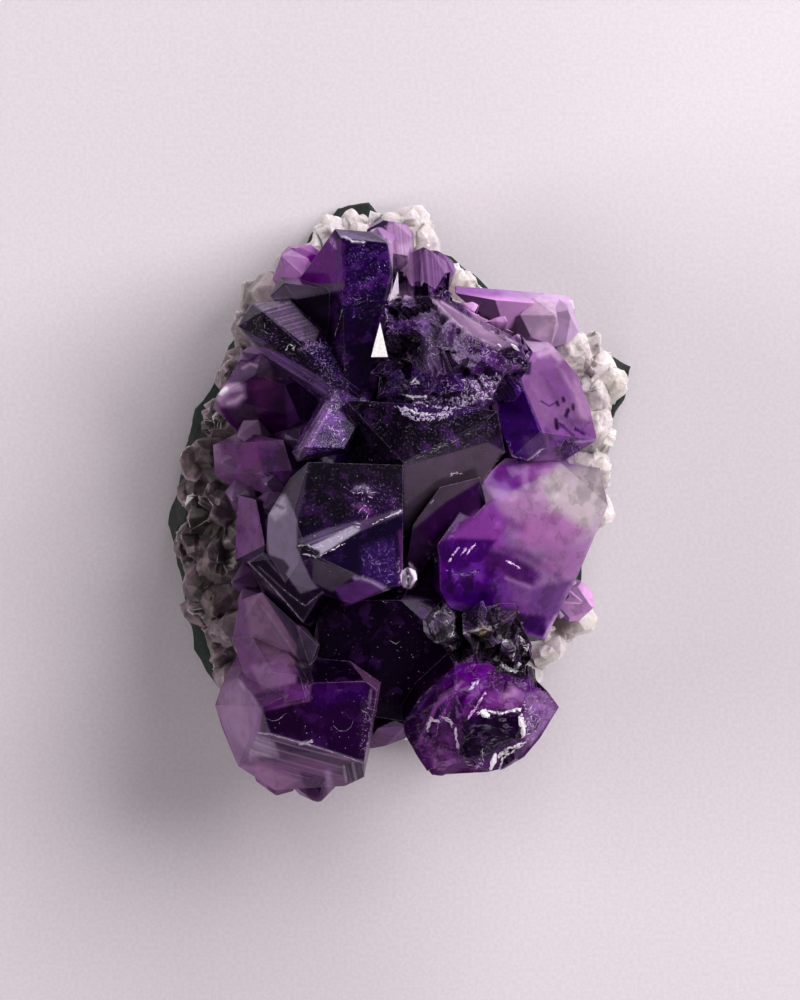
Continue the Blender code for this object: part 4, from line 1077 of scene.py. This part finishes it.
# raised chips along chipped edges and fractures, whose pale tints are painted glints: the line
# they follow, how far they stray from it, how many, their width and tint
chipLines = {
    "crown": ([(344, 236), (352, 241), (364, 242)], 0.3, 12, 2.0, (236, 228, 238)),
    "crown stem": ([(342, 311), (339, 322), (335, 335)], 0.2, 12, 1.1, (206, 196, 212)),
    "crown glint": ([(331, 240), (335, 247)], 1.5, 8, 1.0, (214, 186, 222)),
    "crown face": ([(350, 250), (384, 262), (356, 290)], 7, 26, 0.8, (130, 108, 180)),
    "crown waist": ([(346, 300), (360, 302), (356, 318)], 4, 14, 0.8, (150, 126, 190)),
    "back wedge": ([(391, 299), (395, 286), (398, 273)], 2.2, 60, 1.6, (226, 216, 226)),
    "wedge ring": ([(286, 350), (289, 344), (294, 347), (291, 353)], 0.8, 12, 1.2, (222, 214, 224)),
    "pointer glint": ([(262, 322), (273, 340), (300, 352)], 4, 14, 0.8, (180, 170, 192)),
    "pointer fan": ([(300, 348), (318, 346), (330, 380)], 6, 36, 0.9, (166, 138, 190)),
    "prism glint": ([(330, 395), (332, 420), (342, 440)], 6, 34, 1.0, (206, 186, 220)),
    "bevel": ([(303, 554), (318, 557), (345, 543)], 0.5, 22, 1.7, (230, 224, 232)),
    "bevel face": ([(310, 548), (335, 540), (356, 526)], 3, 26, 0.9, (214, 206, 218)),
    "bevel end": ([(372, 524), (390, 516), (403, 510)], 0.8, 18, 2.1, (214, 206, 218)),
    "bevel ring": ([(299, 546), (308, 545), (317, 550)], 0.6, 14, 1.1, (190, 184, 196)),
    "glow sparks": ([(355, 488), (370, 490), (364, 515)], 5, 26, 0.9, (214, 190, 222)),
    "left glow": ([(365, 560), (385, 570), (388, 590)], 6, 26, 0.9, (170, 136, 196)),
    "ground rim": ([(398, 560), (402, 580), (398, 596), (384, 600)], 3, 30, 1.0, (190, 178, 196)),
    "frame long": ([(249, 563), (276, 591), (303, 622)], 0.3, 34, 1.0, (186, 170, 192)),
    "frame cross": ([(284, 590), (305, 606), (321, 593)], 0.3, 22, 0.9, (165, 148, 174)),
    "foot edge": ([(257, 733), (270, 734), (320, 748), (361, 762)], 0.4, 60, 0.9, (200, 186, 206)),
    "foot sparks": ([(304, 745), (312, 741)], 1.5, 8, 1.0, (226, 216, 230)),
    "foot corner": ([(366, 700), (370, 730), (362, 758)], 4, 24, 0.9, (150, 120, 168)),
    "pit chip": ([(450, 476), (455, 473), (461, 474)], 1.2, 10, 1.5, (216, 208, 214)),
    "pit rim": ([(414, 460), (440, 447), (468, 434)], 1.0, 26, 0.7, (176, 168, 178)),
    "plum sparks": ([(432, 500), (426, 508), (408, 530)], 2, 8, 0.9, (190, 180, 196)),
    "rough left": ([(390, 306), (388, 328), (404, 330)], 4, 36, 1.5, (196, 160, 214)),
    "rough back": ([(400, 302), (420, 298), (434, 310)], 3, 30, 1.4, (150, 136, 160)),
    "rough face": ([(424, 312), (442, 340), (430, 368)], 11, 70, 1.4, (150, 138, 158)),
    "rough right": ([(458, 340), (490, 358), (522, 356)], 8, 110, 1.4, (176, 156, 190)),
    "rough spark": ([(411, 383), (415, 379), (419, 383), (412, 384)], 0.4, 16, 2.2, (240, 234, 242)),
    "rough low": ([(430, 378), (450, 385), (470, 384)], 7, 50, 1.4, (170, 140, 196)),
    "rough lilac": ([(462, 388), (482, 382), (502, 380)], 7, 130, 1.7, (214, 192, 226)),
    "ladder top": ([(402, 394), (414, 397), (427, 396)], 0.4, 26, 2.6, (240, 234, 242)),
    "ladder side": ([(412, 396), (414, 404), (417, 413)], 0.5, 16, 2.6, (240, 234, 242)),
    "ladder rung": ([(414, 403), (421, 402), (427, 406)], 0.5, 14, 2.2, (236, 228, 240)),
    "ladder foot": ([(404, 408), (416, 413), (430, 414)], 1.0, 24, 2.3, (236, 228, 240)),
    "rough crest": ([(424, 400), (446, 405), (476, 398), (494, 392)], 5, 170, 2.2, (222, 206, 232)),
    "rough hem": ([(398, 408), (416, 418), (440, 416), (466, 404)], 3.0, 110, 1.7, (214, 198, 226)),
    "prism tip": ([(560, 444), (572, 440), (580, 452)], 4, 26, 0.9, (150, 110, 176)),
    "prism foot": ([(528, 460), (536, 456), (542, 449)], 1.5, 14, 1.1, (220, 208, 226)),
    "prism wall": ([(506, 440), (514, 456), (524, 462)], 3, 22, 0.9, (176, 156, 210)),
    "chunk ridge": ([(478, 713), (486, 711), (500, 713), (520, 709)], 0.9, 50, 2.7, (242, 236, 240)),
    "chunk blob": ([(481, 714), (489, 715)], 2.2, 18, 3.0, (240, 232, 238)),
    "chunk side": ([(520, 714), (525, 722), (522, 737)], 1.4, 30, 2.7, (240, 232, 238)),
    "chunk fan": ([(489, 772), (494, 758), (506, 750), (523, 744)], 1.6, 70, 3.0, (242, 236, 240)),
    "chunk fan low": ([(499, 770), (503, 757), (512, 752)], 1.0, 24, 2.2, (236, 228, 236)),
    "chunk streak": ([(486, 692), (478, 704), (469, 717)], 0.9, 26, 2.4, (222, 176, 228)),
    "chunk crest": ([(458, 690), (446, 706), (436, 730)], 2.0, 26, 1.1, (176, 120, 196)),
    "chunk left": ([(427, 730), (431, 719), (441, 722)], 1.2, 26, 2.6, (232, 214, 236)),
    "chunk middle": ([(442, 717), (451, 722), (455, 730), (458, 748)], 1.1, 40, 2.5, (228, 208, 232)),
    "chunk top": ([(470, 688), (477, 680)], 2.0, 16, 1.8, (222, 190, 230)),
    "chunk right": ([(528, 704), (534, 722), (526, 740)], 6, 80, 1.2, (196, 170, 206)),
    "chunk foot": ([(468, 764), (480, 766), (484, 750)], 2.4, 36, 1.1, (206, 188, 212)),
    "chunk rim": ([(486, 674), (515, 680), (548, 696)], 3, 40, 0.9, (160, 120, 176)),
    "big right one": ([(449, 560), (458, 548)], 0.8, 16, 2.2, (222, 190, 228)),
    "big right two": ([(460, 556), (466, 548)], 0.6, 10, 2.2, (222, 190, 228)),
    "big right three": ([(468, 552), (474, 545)], 0.6, 10, 2.2, (222, 190, 228)),
    "big right four": ([(508, 562), (520, 568)], 0.6, 14, 2.4, (226, 196, 230)),
    "big right edge": ([(434, 554), (436, 562)], 0.8, 10, 1.5, (220, 206, 226)),
    "big right waist": ([(444, 568), (462, 576), (478, 572)], 2.5, 26, 1.0, (150, 110, 190)),
    "crumb one": ([(430, 618), (440, 612), (452, 612)], 1.5, 30, 1.4, (206, 200, 208)),
    "crumb two": ([(428, 626), (434, 640), (446, 644)], 1.5, 26, 1.2, (180, 174, 184)),
    "crumb three": ([(446, 620), (456, 626), (452, 636)], 2.0, 36, 1.5, (206, 200, 208)),
    "crumb slit": ([(463, 634), (478, 630), (494, 626)], 0.5, 34, 1.3, (222, 218, 214)),
    "crumb ring": ([(499, 648), (503, 641), (511, 641), (516, 648), (513, 660)], 0.9, 50, 2.0,
                   (226, 222, 228)),
    "crumb tail": ([(494, 656), (503, 666), (514, 671), (521, 662)], 1.6, 50, 3.8, (226, 222, 228)),
    "crumb dot": ([(520, 638), (527, 647), (524, 655)], 2.0, 30, 2.0, (214, 208, 216)),
    "crumb hem": ([(450, 645), (458, 655), (462, 662)], 2.0, 20, 1.0, (190, 184, 194)),
}

# single lumps of crystal: the line each lies on, its width and its tint. The bright blobs and the
# white back wedge and chunk lumps are painted highlights; the speck is a small milky crystal.
nuggets = {
    "speck": ([(408, 563), (410, 576), (409, 589)], 15, (206, 196, 210)),
    "speck crack": ([(406, 570), (409, 576), (408, 583)], 3, (60, 46, 70)),
    "speck foot": ([(396, 589), (402, 592)], 4, (150, 138, 158)),
    "bright blob": ([(511, 344), (519, 351)], 5, (230, 220, 234)),
    "bright blob low": ([(497, 344), (501, 347)], 4, (214, 200, 222)),
    "back wedge": ([(390, 300), (394, 290), (398, 273)], 7, (236, 228, 236)),
    "crumb block": ([(492, 616), (500, 640)], 9, (58, 50, 60)),
    "crumb shelf": ([(424, 620), (434, 640)], 12, (92, 84, 98)),
    "crumb flake": ([(440, 612), (454, 622)], 8, (120, 110, 124)),
    "chunk blob": ([(481, 713), (490, 716)], 7, (242, 236, 240)),
    "chunk block": ([(519, 716), (524, 736)], 6, (238, 230, 238)),
    "chunk wedge": ([(491, 770), (495, 753)], 7, (240, 234, 240)),
}

glintChips = {"seed": 4, "ragged": 0.9, "lumpRagged": 0.45, "lumpSpacing": 4.0, "thick": 0.45,
         "half": (1, 2.2), "turn": (0.5, 3.0), "grit": 0.12, "stain": (120, 96, 138)}


# short shards strewn along a line, each turned a little from it, more where they stray far
def shardLines(line, stray, count, random):
    line = evenly(line, 0.5)
    picked = random.integers(0, len(line), count)
    run = np.gradient(line, axis=0)[picked]
    least, most = glintChips["turn"]
    turn = np.arctan2(run[:, 1], run[:, 0]) + (random.random(count) - 0.5) * min(most, least + stray * 0.5)
    short, more = glintChips["half"]
    reach = short + more * random.random(count) ** 2
    half = reach[:, None] * np.stack([np.cos(turn), np.sin(turn)], axis=1)
    middle = line[picked] + (random.random((count, 2)) - 0.5) * 2 * stray
    return np.stack([middle - half, middle, middle + half], axis=1)


def buildChips(tree):
    random = np.random.default_rng(glintChips["seed"])
    parts, tints = [], []
    for line, stray, count, width, tint in chipLines.values():
        for shard in shardLines(line, stray, count, random):
            wide = width * (0.4 + 0.9 * random.random()) * view["step"]
            points = splinter(tree, shard, wide, wide * glintChips["thick"], random, None, glintChips["ragged"])
            if points is not None:
                parts.append(points)
                tints.append(tone(*(np.array(tint) * (0.8 + 0.25 * random.random()))))
    for line, width, tint in nuggets.values():
        wide = width * view["step"]
        points = splinter(tree, line, wide, wide * glintChips["thick"], random, glintChips["lumpSpacing"],
                          glintChips["lumpRagged"])
        if points is not None:
            parts.append(points)
            tints.append(tone(*tint))
    settle(meshOfSplinters("glintChips", parts, tints), chipMaterial())


# the chip's tint, for most a painted glint, stained in fine grit that is also its relief
def chipMaterial():
    paint = Paint(bpy.data.materials.new("glintChips"))
    grit = paint.noise(glintChips["grit"], 3.0)
    colour = paint.mix(grit.between(0.4, 0.65) * 0.25, paint.attribute("tint", 0), tone(*glintChips["stain"]))
    return paint.finish(paint.add("BsdfPrincipled", None, {
        "Base Color": colour, "Roughness": 0.3, "IOR": amethyst["ior"],
        "Normal": paint.bump(grit, 0.6, 0.03)}))


# flat bright plates over two steep facets, painted highlights: corners, the height of each in mm,
# thickness and tint
highlightPlates = {
    "splinter": ([(380, 322), (388, 357), (371, 357)], (30.3, 28.5, 29.4), 1.2, (255, 252, 248)),
    "back wedge": ([(398, 271), (399, 293), (388, 303)], (24.0, 23.6, 28.4), 7.0, (226, 214, 226)),
}
plateUnder = (60, 30, 84)     # tint of a plate's underside


# a plate: its corners at the given heights on their sight lines, and the same corners lower down
def buildPlates():
    corners, faces, tints = [], [], []
    for outline, heights, thick, tint in highlightPlates.values():
        start, along = (np.array(part) for part in zip(*[sightLine(*corner) for corner in outline]))
        top = start + along * ((np.array(heights) - start[:, 2]) / along[:, 2])[:, None]
        count, first = len(outline), len(tints)
        after = [(i + 1) % count for i in range(count)]
        faces += [tuple(range(first, first + count)), tuple(range(first + count, first + 2 * count))[::-1]]
        faces += [(first + i, first + count + i, first + count + after[i], first + after[i])
                  for i in range(count)]
        corners.append(np.concatenate([top, top - (0, 0, thick)]))
        tints += [tone(*tint)] * count + [tone(*plateUnder)] * count
    settle(newMesh("highlightPlates", np.concatenate(corners), faces, tints), chipMaterial())


# small side crystals: point and height of the tip, bearing, rise, width, length and tint
sideCrystals = {
    "mid gap": ((266, 484), 18.0, 200, 60, 4.6, 9, (104, 66, 118)),
    "mid low gap": ((262, 508), 18.5, 190, 55, 4.2, 9, (120, 88, 132)),
    "strip gap": ((262, 538), 17.5, 185, 60, 4.0, 9, (132, 104, 142)),
    "far left": ((222, 462), 14.0, 180, 50, 4.4, 7, (134, 98, 142)),
    "left of mid": ((232, 500), 14.5, 200, 55, 4.0, 7, (122, 88, 130)),
    "left low": ((232, 582), 13.5, 190, 50, 4.0, 6, (110, 70, 118)),
    "left lower": ((240, 608), 15.0, 200, 60, 3.6, 7, (128, 92, 136)),
    "under maroon": ((238, 436), 16.0, 195, 45, 3.8, 7, (150, 118, 152)),
    "behind maroon": ((242, 352), 16.0, 150, 50, 3.6, 7, (118, 84, 128)),
    "pink top": ((282, 256), 17.0, 120, 50, 4.2, 8, (160, 112, 166)),
    "behind crown": ((378, 228), 21.0, 95, 60, 3.4, 9, (170, 132, 178)),
    "under pit": ((404, 612), 19.0, 270, 70, 3.6, 8, (30, 10, 42)),
    "white end": ((556, 316), 17.5, 20, 50, 4.6, 7, (196, 168, 194)),
    "pink right": ((582, 602), 13.0, 340, 50, 4.0, 6, (206, 160, 206)),
    "bottom pale": ((392, 742), 14.0, 280, 50, 3.6, 6, (150, 132, 158)),
}
sideLook = {"seed": 8, "sides": 6, "foot": 0.95, "tip": 0.07, "uneven": (0.8, 0.4),
            "shoulder": (0.42, 0.16), "pale": (206, 194, 208), "cloud": (92, 60, 104)}


# One side crystal: rings round its axis at the foot and the shoulder and a small one at the tip,
# each corner of a ring pushed out unevenly, so that every side is a flat facet.
def sideRings(point, height, bearing, rise, width, length, random):
    angle = np.linspace(0, 2 * math.pi, sideLook["sides"] + 1)[:-1]
    bearing, rise = math.radians(bearing), math.radians(rise)
    axis = np.array([math.cos(rise) * math.cos(bearing), math.cos(rise) * math.sin(bearing),
                     math.sin(rise)])
    start, direction = sightLine(*point)
    tip = start + direction * (height - start[2]) / direction[2]
    side = np.cross(axis, [0, 0, 1])
    side /= np.linalg.norm(side)
    other = np.cross(side, axis)
    out = (np.cos(angle)[:, None] * side + np.sin(angle)[:, None] * other) * width / 2
    least, more = sideLook["uneven"]
    out *= (least + more * random.random(sideLook["sides"]))[:, None]
    least, more = sideLook["shoulder"]
    drop = least + more * random.random((sideLook["sides"], 1))
    return [tip - axis * length + out * sideLook["foot"], tip - axis * width * drop + out,
            tip + out * sideLook["tip"]]


# the side crystals, paler at the foot
def buildSideCrystals():
    random = np.random.default_rng(sideLook["seed"])
    corners, faces, tints = [], [], []
    pale, sides = np.array(tone(*sideLook["pale"])), sideLook["sides"]
    for *shape, tint in sideCrystals.values():
        faces += ringsToFaces(3, sides, len(tints))
        corners += sideRings(*shape, random)
        deep = np.array(tone(*tint))
        tints += [pale * 0.5 + deep * 0.5] * sides + [deep] * sides + [deep * 0.9 + pale * 0.1] * sides
    settle(newMesh("sideCrystals", np.concatenate(corners), faces, tints), sideMaterial())


def sideMaterial():
    paint = Paint(bpy.data.materials.new("sideCrystals"))
    clouds = paint.noise(1.6, 4.0)
    colour = paint.mix(clouds.between(0.35, 0.65) * 0.3, paint.attribute("tint", 0),
                       tone(*sideLook["cloud"]))
    rounded = paint.add("Bevel", {"samples": 4}, {"Radius": amethyst["wear"] * mm})
    return paint.finish(paint.add("BsdfPrincipled", None, {
        "Base Color": colour, "Roughness": 0.2, "IOR": amethyst["ior"],
        "Normal": paint.bump(clouds, 0.2, 0.1, rounded)}))


# dust: how many grains lie in each dusty area at most, their sizes in mm and how high they lie
dust = {
    "areas": [
        (260, [(300, 455), (404, 455), (404, 600), (300, 560)]),
        (260, [(315, 600), (455, 600), (450, 720), (320, 700)]),
        (120, [(262, 700), (372, 685), (370, 755), (270, 732)]),
        (220, [(340, 400), (505, 400), (500, 470), (345, 465)]),
        (120, [(300, 330), (350, 330), (350, 400), (300, 400)]),
        (120, [(345, 240), (390, 240), (390, 320), (345, 320)]),
    ],
    "seed": 77, "size": (0.014, 0.05), "lift": 0.01, "uneven": (0.6, 0.8),
    "dark": (120, 110, 128), "light": (205, 198, 210),
}


# a grain is a small uneven octahedron
def buildDust(tree):
    random = np.random.default_rng(dust["seed"])
    spots = []
    for count, area in dust["areas"]:
        low, high = np.min(area, axis=0), np.max(area, axis=0)
        tries = low + random.random((count * 2, 2)) * (high - low)
        spots.append(tries[inside(tries, area)][:count])
    found = ontoCrystals(tree, np.concatenate(spots))
    count = len(found)
    smallest, spread = dust["size"]
    size = smallest + spread * random.random(count) ** 3
    least, more = dust["uneven"]
    octahedron = np.array([[1, 0, 0], [0, 1, 0], [-1, 0, 0], [0, -1, 0], [0, 0, 1], [0, 0, -1]], float)
    shapes = octahedron[None] * size[:, None, None] * (least + more * random.random((count, 6, 1)))
    corners = (found[:, None, :3] + found[:, None, 3:] * dust["lift"] + shapes).reshape(-1, 3)
    after = [1, 2, 3, 0]
    shell = np.array([[i, after[i], 4] for i in range(4)] + [[after[i], i, 5] for i in range(4)])
    faces = (shell[None] + np.arange(count)[:, None, None] * 6).reshape(-1, 3)
    settle(newMesh("dust", corners, faces.tolist()), dustMaterial())


def dustMaterial():
    paint = Paint(bpy.data.materials.new("dust"))
    shade = paint.noise(0.8, 2.0).between(0.35, 0.65)
    colour = paint.mix(shade, tone(*dust["dark"]), tone(*dust["light"]))
    return paint.finish(paint.add("BsdfPrincipled", None, {"Base Color": colour, "Roughness": 0.8}))


# lint: the lines its threads follow, and a thread's width, height and unevenness
lint = {
    "lines": [
        [(266, 718), (272, 721), (278, 720), (286, 713)],
        [(333, 725), (339, 731), (346, 731), (351, 727), (353, 721)],
        [(389, 640), (396, 644), (400, 641)],
    ],
    "seed": 5, "width": 0.05, "height": 0.04, "spacing": 0.8, "ragged": 0.2,
}


def buildFibres(tree):
    random = np.random.default_rng(lint["seed"])
    parts = [splinter(tree, line, lint["width"], lint["height"], random, lint["spacing"], lint["ragged"])
             for line in lint["lines"]]
    mesh = meshOfSplinters("fibres", [points for points in parts if points is not None])
    settle(mesh, dustMaterial())


# The quartz crust: longest edge in mm, grains as size, tilt and seed, lumps as size, height and
# seed, how far out it all swells, where across it turns to the shaded left side, and colours of the
# bright side and of the left side, whose own brownish tones are darkened as painted shade: two
# that cloud into each other and a stain.
quartz = {
    "edge": 0.66, "grains": ((3.4, 0.45, 31), (1.5, 0.14, 35)), "lumps": (0.7, 0.04, 43), "out": 0.3,
    "shadeFrom": (-21, -8),
    "bright": ((224, 215, 216), (190, 180, 182), (172, 170, 152)),
    "shadedLeft": ((140, 122, 130), (72, 60, 64), (84, 76, 64)), "grime": (130, 112, 124),
    "depth": 3, "scatter": (1, 0.95, 0.96),
}


def buildBase():
    bm = mergedCopy("milky_quartz_base")
    refine(bm, quartz["edge"])
    at = places(bm)
    grains = sum(brokenFacets(at, *grain) for grain in quartz["grains"])
    swell(bm, grains + smoothNoise(at, *quartz["lumps"]) + quartz["out"])
    settle(meshOf(bm, "quartzBase"), quartzMaterial(), "milky_quartz_base")


# two clouded colours and a stain on each side, the left side darker as painted shade, blended
# from left to right, under fine grime
def quartzMaterial():
    paint = Paint(bpy.data.materials.new("quartz"))
    clouds = paint.noise(3.0, 5.0, 0.6)
    fine = paint.noise(0.5, 4.0, 0.6)
    across = paint.add("SeparateXYZ", None, {0: paint.place()}, 0)
    left, right = quartz["shadeFrom"]
    brown = paint.noise(2.4, 3.0).between(0.45, 0.62)
    white, grey, ochre = (tone(*colour) for colour in quartz["bright"])
    bright = paint.mix(brown * 0.4, paint.mix(clouds.between(0.35, 0.7), white, grey), ochre)
    mauve, dark, earth = (tone(*colour) for colour in quartz["shadedLeft"])
    shadedLeft = paint.mix(brown * 0.6, paint.mix(clouds.between(0.4, 0.6), mauve, dark), earth)
    colour = paint.mix(1 - across.between(left * mm, right * mm), bright, shadedLeft)
    colour = paint.mix(fine.between(0.45, 0.7) * 0.25, colour, tone(*quartz["grime"]))
    return paint.finish(paint.add("BsdfPrincipled", None, {
        "Base Color": colour, "Roughness": 0.4, "IOR": amethyst["ior"], "Subsurface Weight": 0.8,
        "Subsurface Scale": quartz["depth"] * mm, "Subsurface Radius": quartz["scatter"],
        "Normal": paint.bump(fine, 0.5, 0.08)}))


# the basalt rind: longest edge in mm, lumps as size, height and seed, and the level they start at
rind = {"edge": 0.7, "lumps": ((2.2, 0.22, 51), (0.9, 0.1, 53)), "level": 0.8,
        "green": (22, 40, 36), "grey": (52, 52, 50), "dusty": (84, 84, 76)}


# lumps that die away towards the flat underside
def buildRind():
    bm = mergedCopy("basalt_rind")
    refine(bm, rind["edge"])
    at = places(bm)
    lumps = sum(smoothNoise(at, *lump) for lump in rind["lumps"])
    swell(bm, lumps * np.clip(at[:, 2] / rind["level"], 0, 1))
    settle(meshOf(bm, "basaltRind"), rindMaterial(), "basalt_rind")


def rindMaterial():
    paint = Paint(bpy.data.materials.new("rind"))
    clouds = paint.noise(4.0, 5.0, 0.6)
    fine = paint.noise(0.4, 4.0, 0.6)
    colour = paint.mix(clouds.between(0.4, 0.65), tone(*rind["green"]), tone(*rind["grey"]))
    colour = paint.mix(fine.between(0.5, 0.7) * 0.3, colour, tone(*rind["dusty"]))
    return paint.finish(paint.add("BsdfPrincipled", None, {
        "Base Color": colour, "Roughness": 0.7, "Normal": paint.bump(fine, 0.7, 0.1)}))


table = {"size": 3.0, "grain": 0.4, "dark": (214, 206, 212), "light": (220, 212, 218)}


def buildFloor():
    bpy.ops.mesh.primitive_plane_add(size=table["size"], location=(0, 0, 0))
    floor = bpy.context.object
    floor.name = "floor"
    paint = Paint(bpy.data.materials.new("floor"))
    grain = paint.noise(table["grain"], 3.0).between(0.3, 0.7)
    colour = paint.mix(grain, tone(*table["dark"]), tone(*table["light"]))
    surface = paint.add("BsdfPrincipled", None, {"Base Color": colour, "Roughness": 0.8})
    floor.data.materials.append(paint.finish(surface))
    print("floor laid")


# soft lamps: where each stands and aims in metres, its size and its power in watts
studio = {
    "lamps": {
        "right": ((0.4, 0.2, 0.4), (0, 0, 0.01), (0.35, 0.35), 3.3),
        "top": ((0.22, 0.55, 0.28), (0, 0, 0.01), (0.3, 0.25), 1.7),
        "left": ((-0.6, 0.0, 0.3), (0, 0, 0.01), (0.4, 0.3), 2.2),
        "front": ((0.05, -0.5, 0.1), (0, 0, 0.012), (0.4, 0.15), 1.0),
    },
    "low": (1.0, 0.94, 0.97, 1), "overhead": (0.42, 0.38, 0.40, 1), "strength": 0.3,
    "gamma": 0.8, "exposure": 0.04,
}


def addLamp(name, at, aim, size, power):
    data = bpy.data.lights.new(name, "AREA")
    data.shape = "RECTANGLE"
    data.size, data.size_y = size
    data.energy = power
    lamp = bpy.data.objects.new(name, data)
    lamp.location = at
    lamp.rotation_euler = (Vector(aim) - Vector(at)).to_track_quat("-Z", "Y").to_euler()
    bpy.context.scene.collection.objects.link(lamp)


# a room that is bright low down and dimmer overhead
def buildRoom():
    world = bpy.data.worlds.new("studio")
    bpy.context.scene.world = world
    paint = Paint(world)
    rise = paint.add("SeparateXYZ", None, {0: paint.add("TexCoord")}, 2)
    colour = paint.mix(rise.between(0.35, 0.85), studio["low"], studio["overhead"])
    background = paint.add("Background", None, {"Color": colour, "Strength": studio["strength"]})
    paint.finish(background, output="ShaderNodeOutputWorld")


def buildLight():
    buildRoom()
    for name, lamp in studio["lamps"].items():
        addLamp(name, *lamp)
    shown = bpy.context.scene.view_settings
    shown.view_transform = "Standard"
    shown.gamma = studio["gamma"]
    shown.exposure = studio["exposure"]
    print("lamps:", len(studio["lamps"]))


crystalTree = buildAmethyst()
buildChips(crystalTree)
buildPlates()
buildSideCrystals()
buildDust(crystalTree)
buildFibres(crystalTree)
buildBase()
buildRind()
buildFloor()
buildLight()
placeCamera()
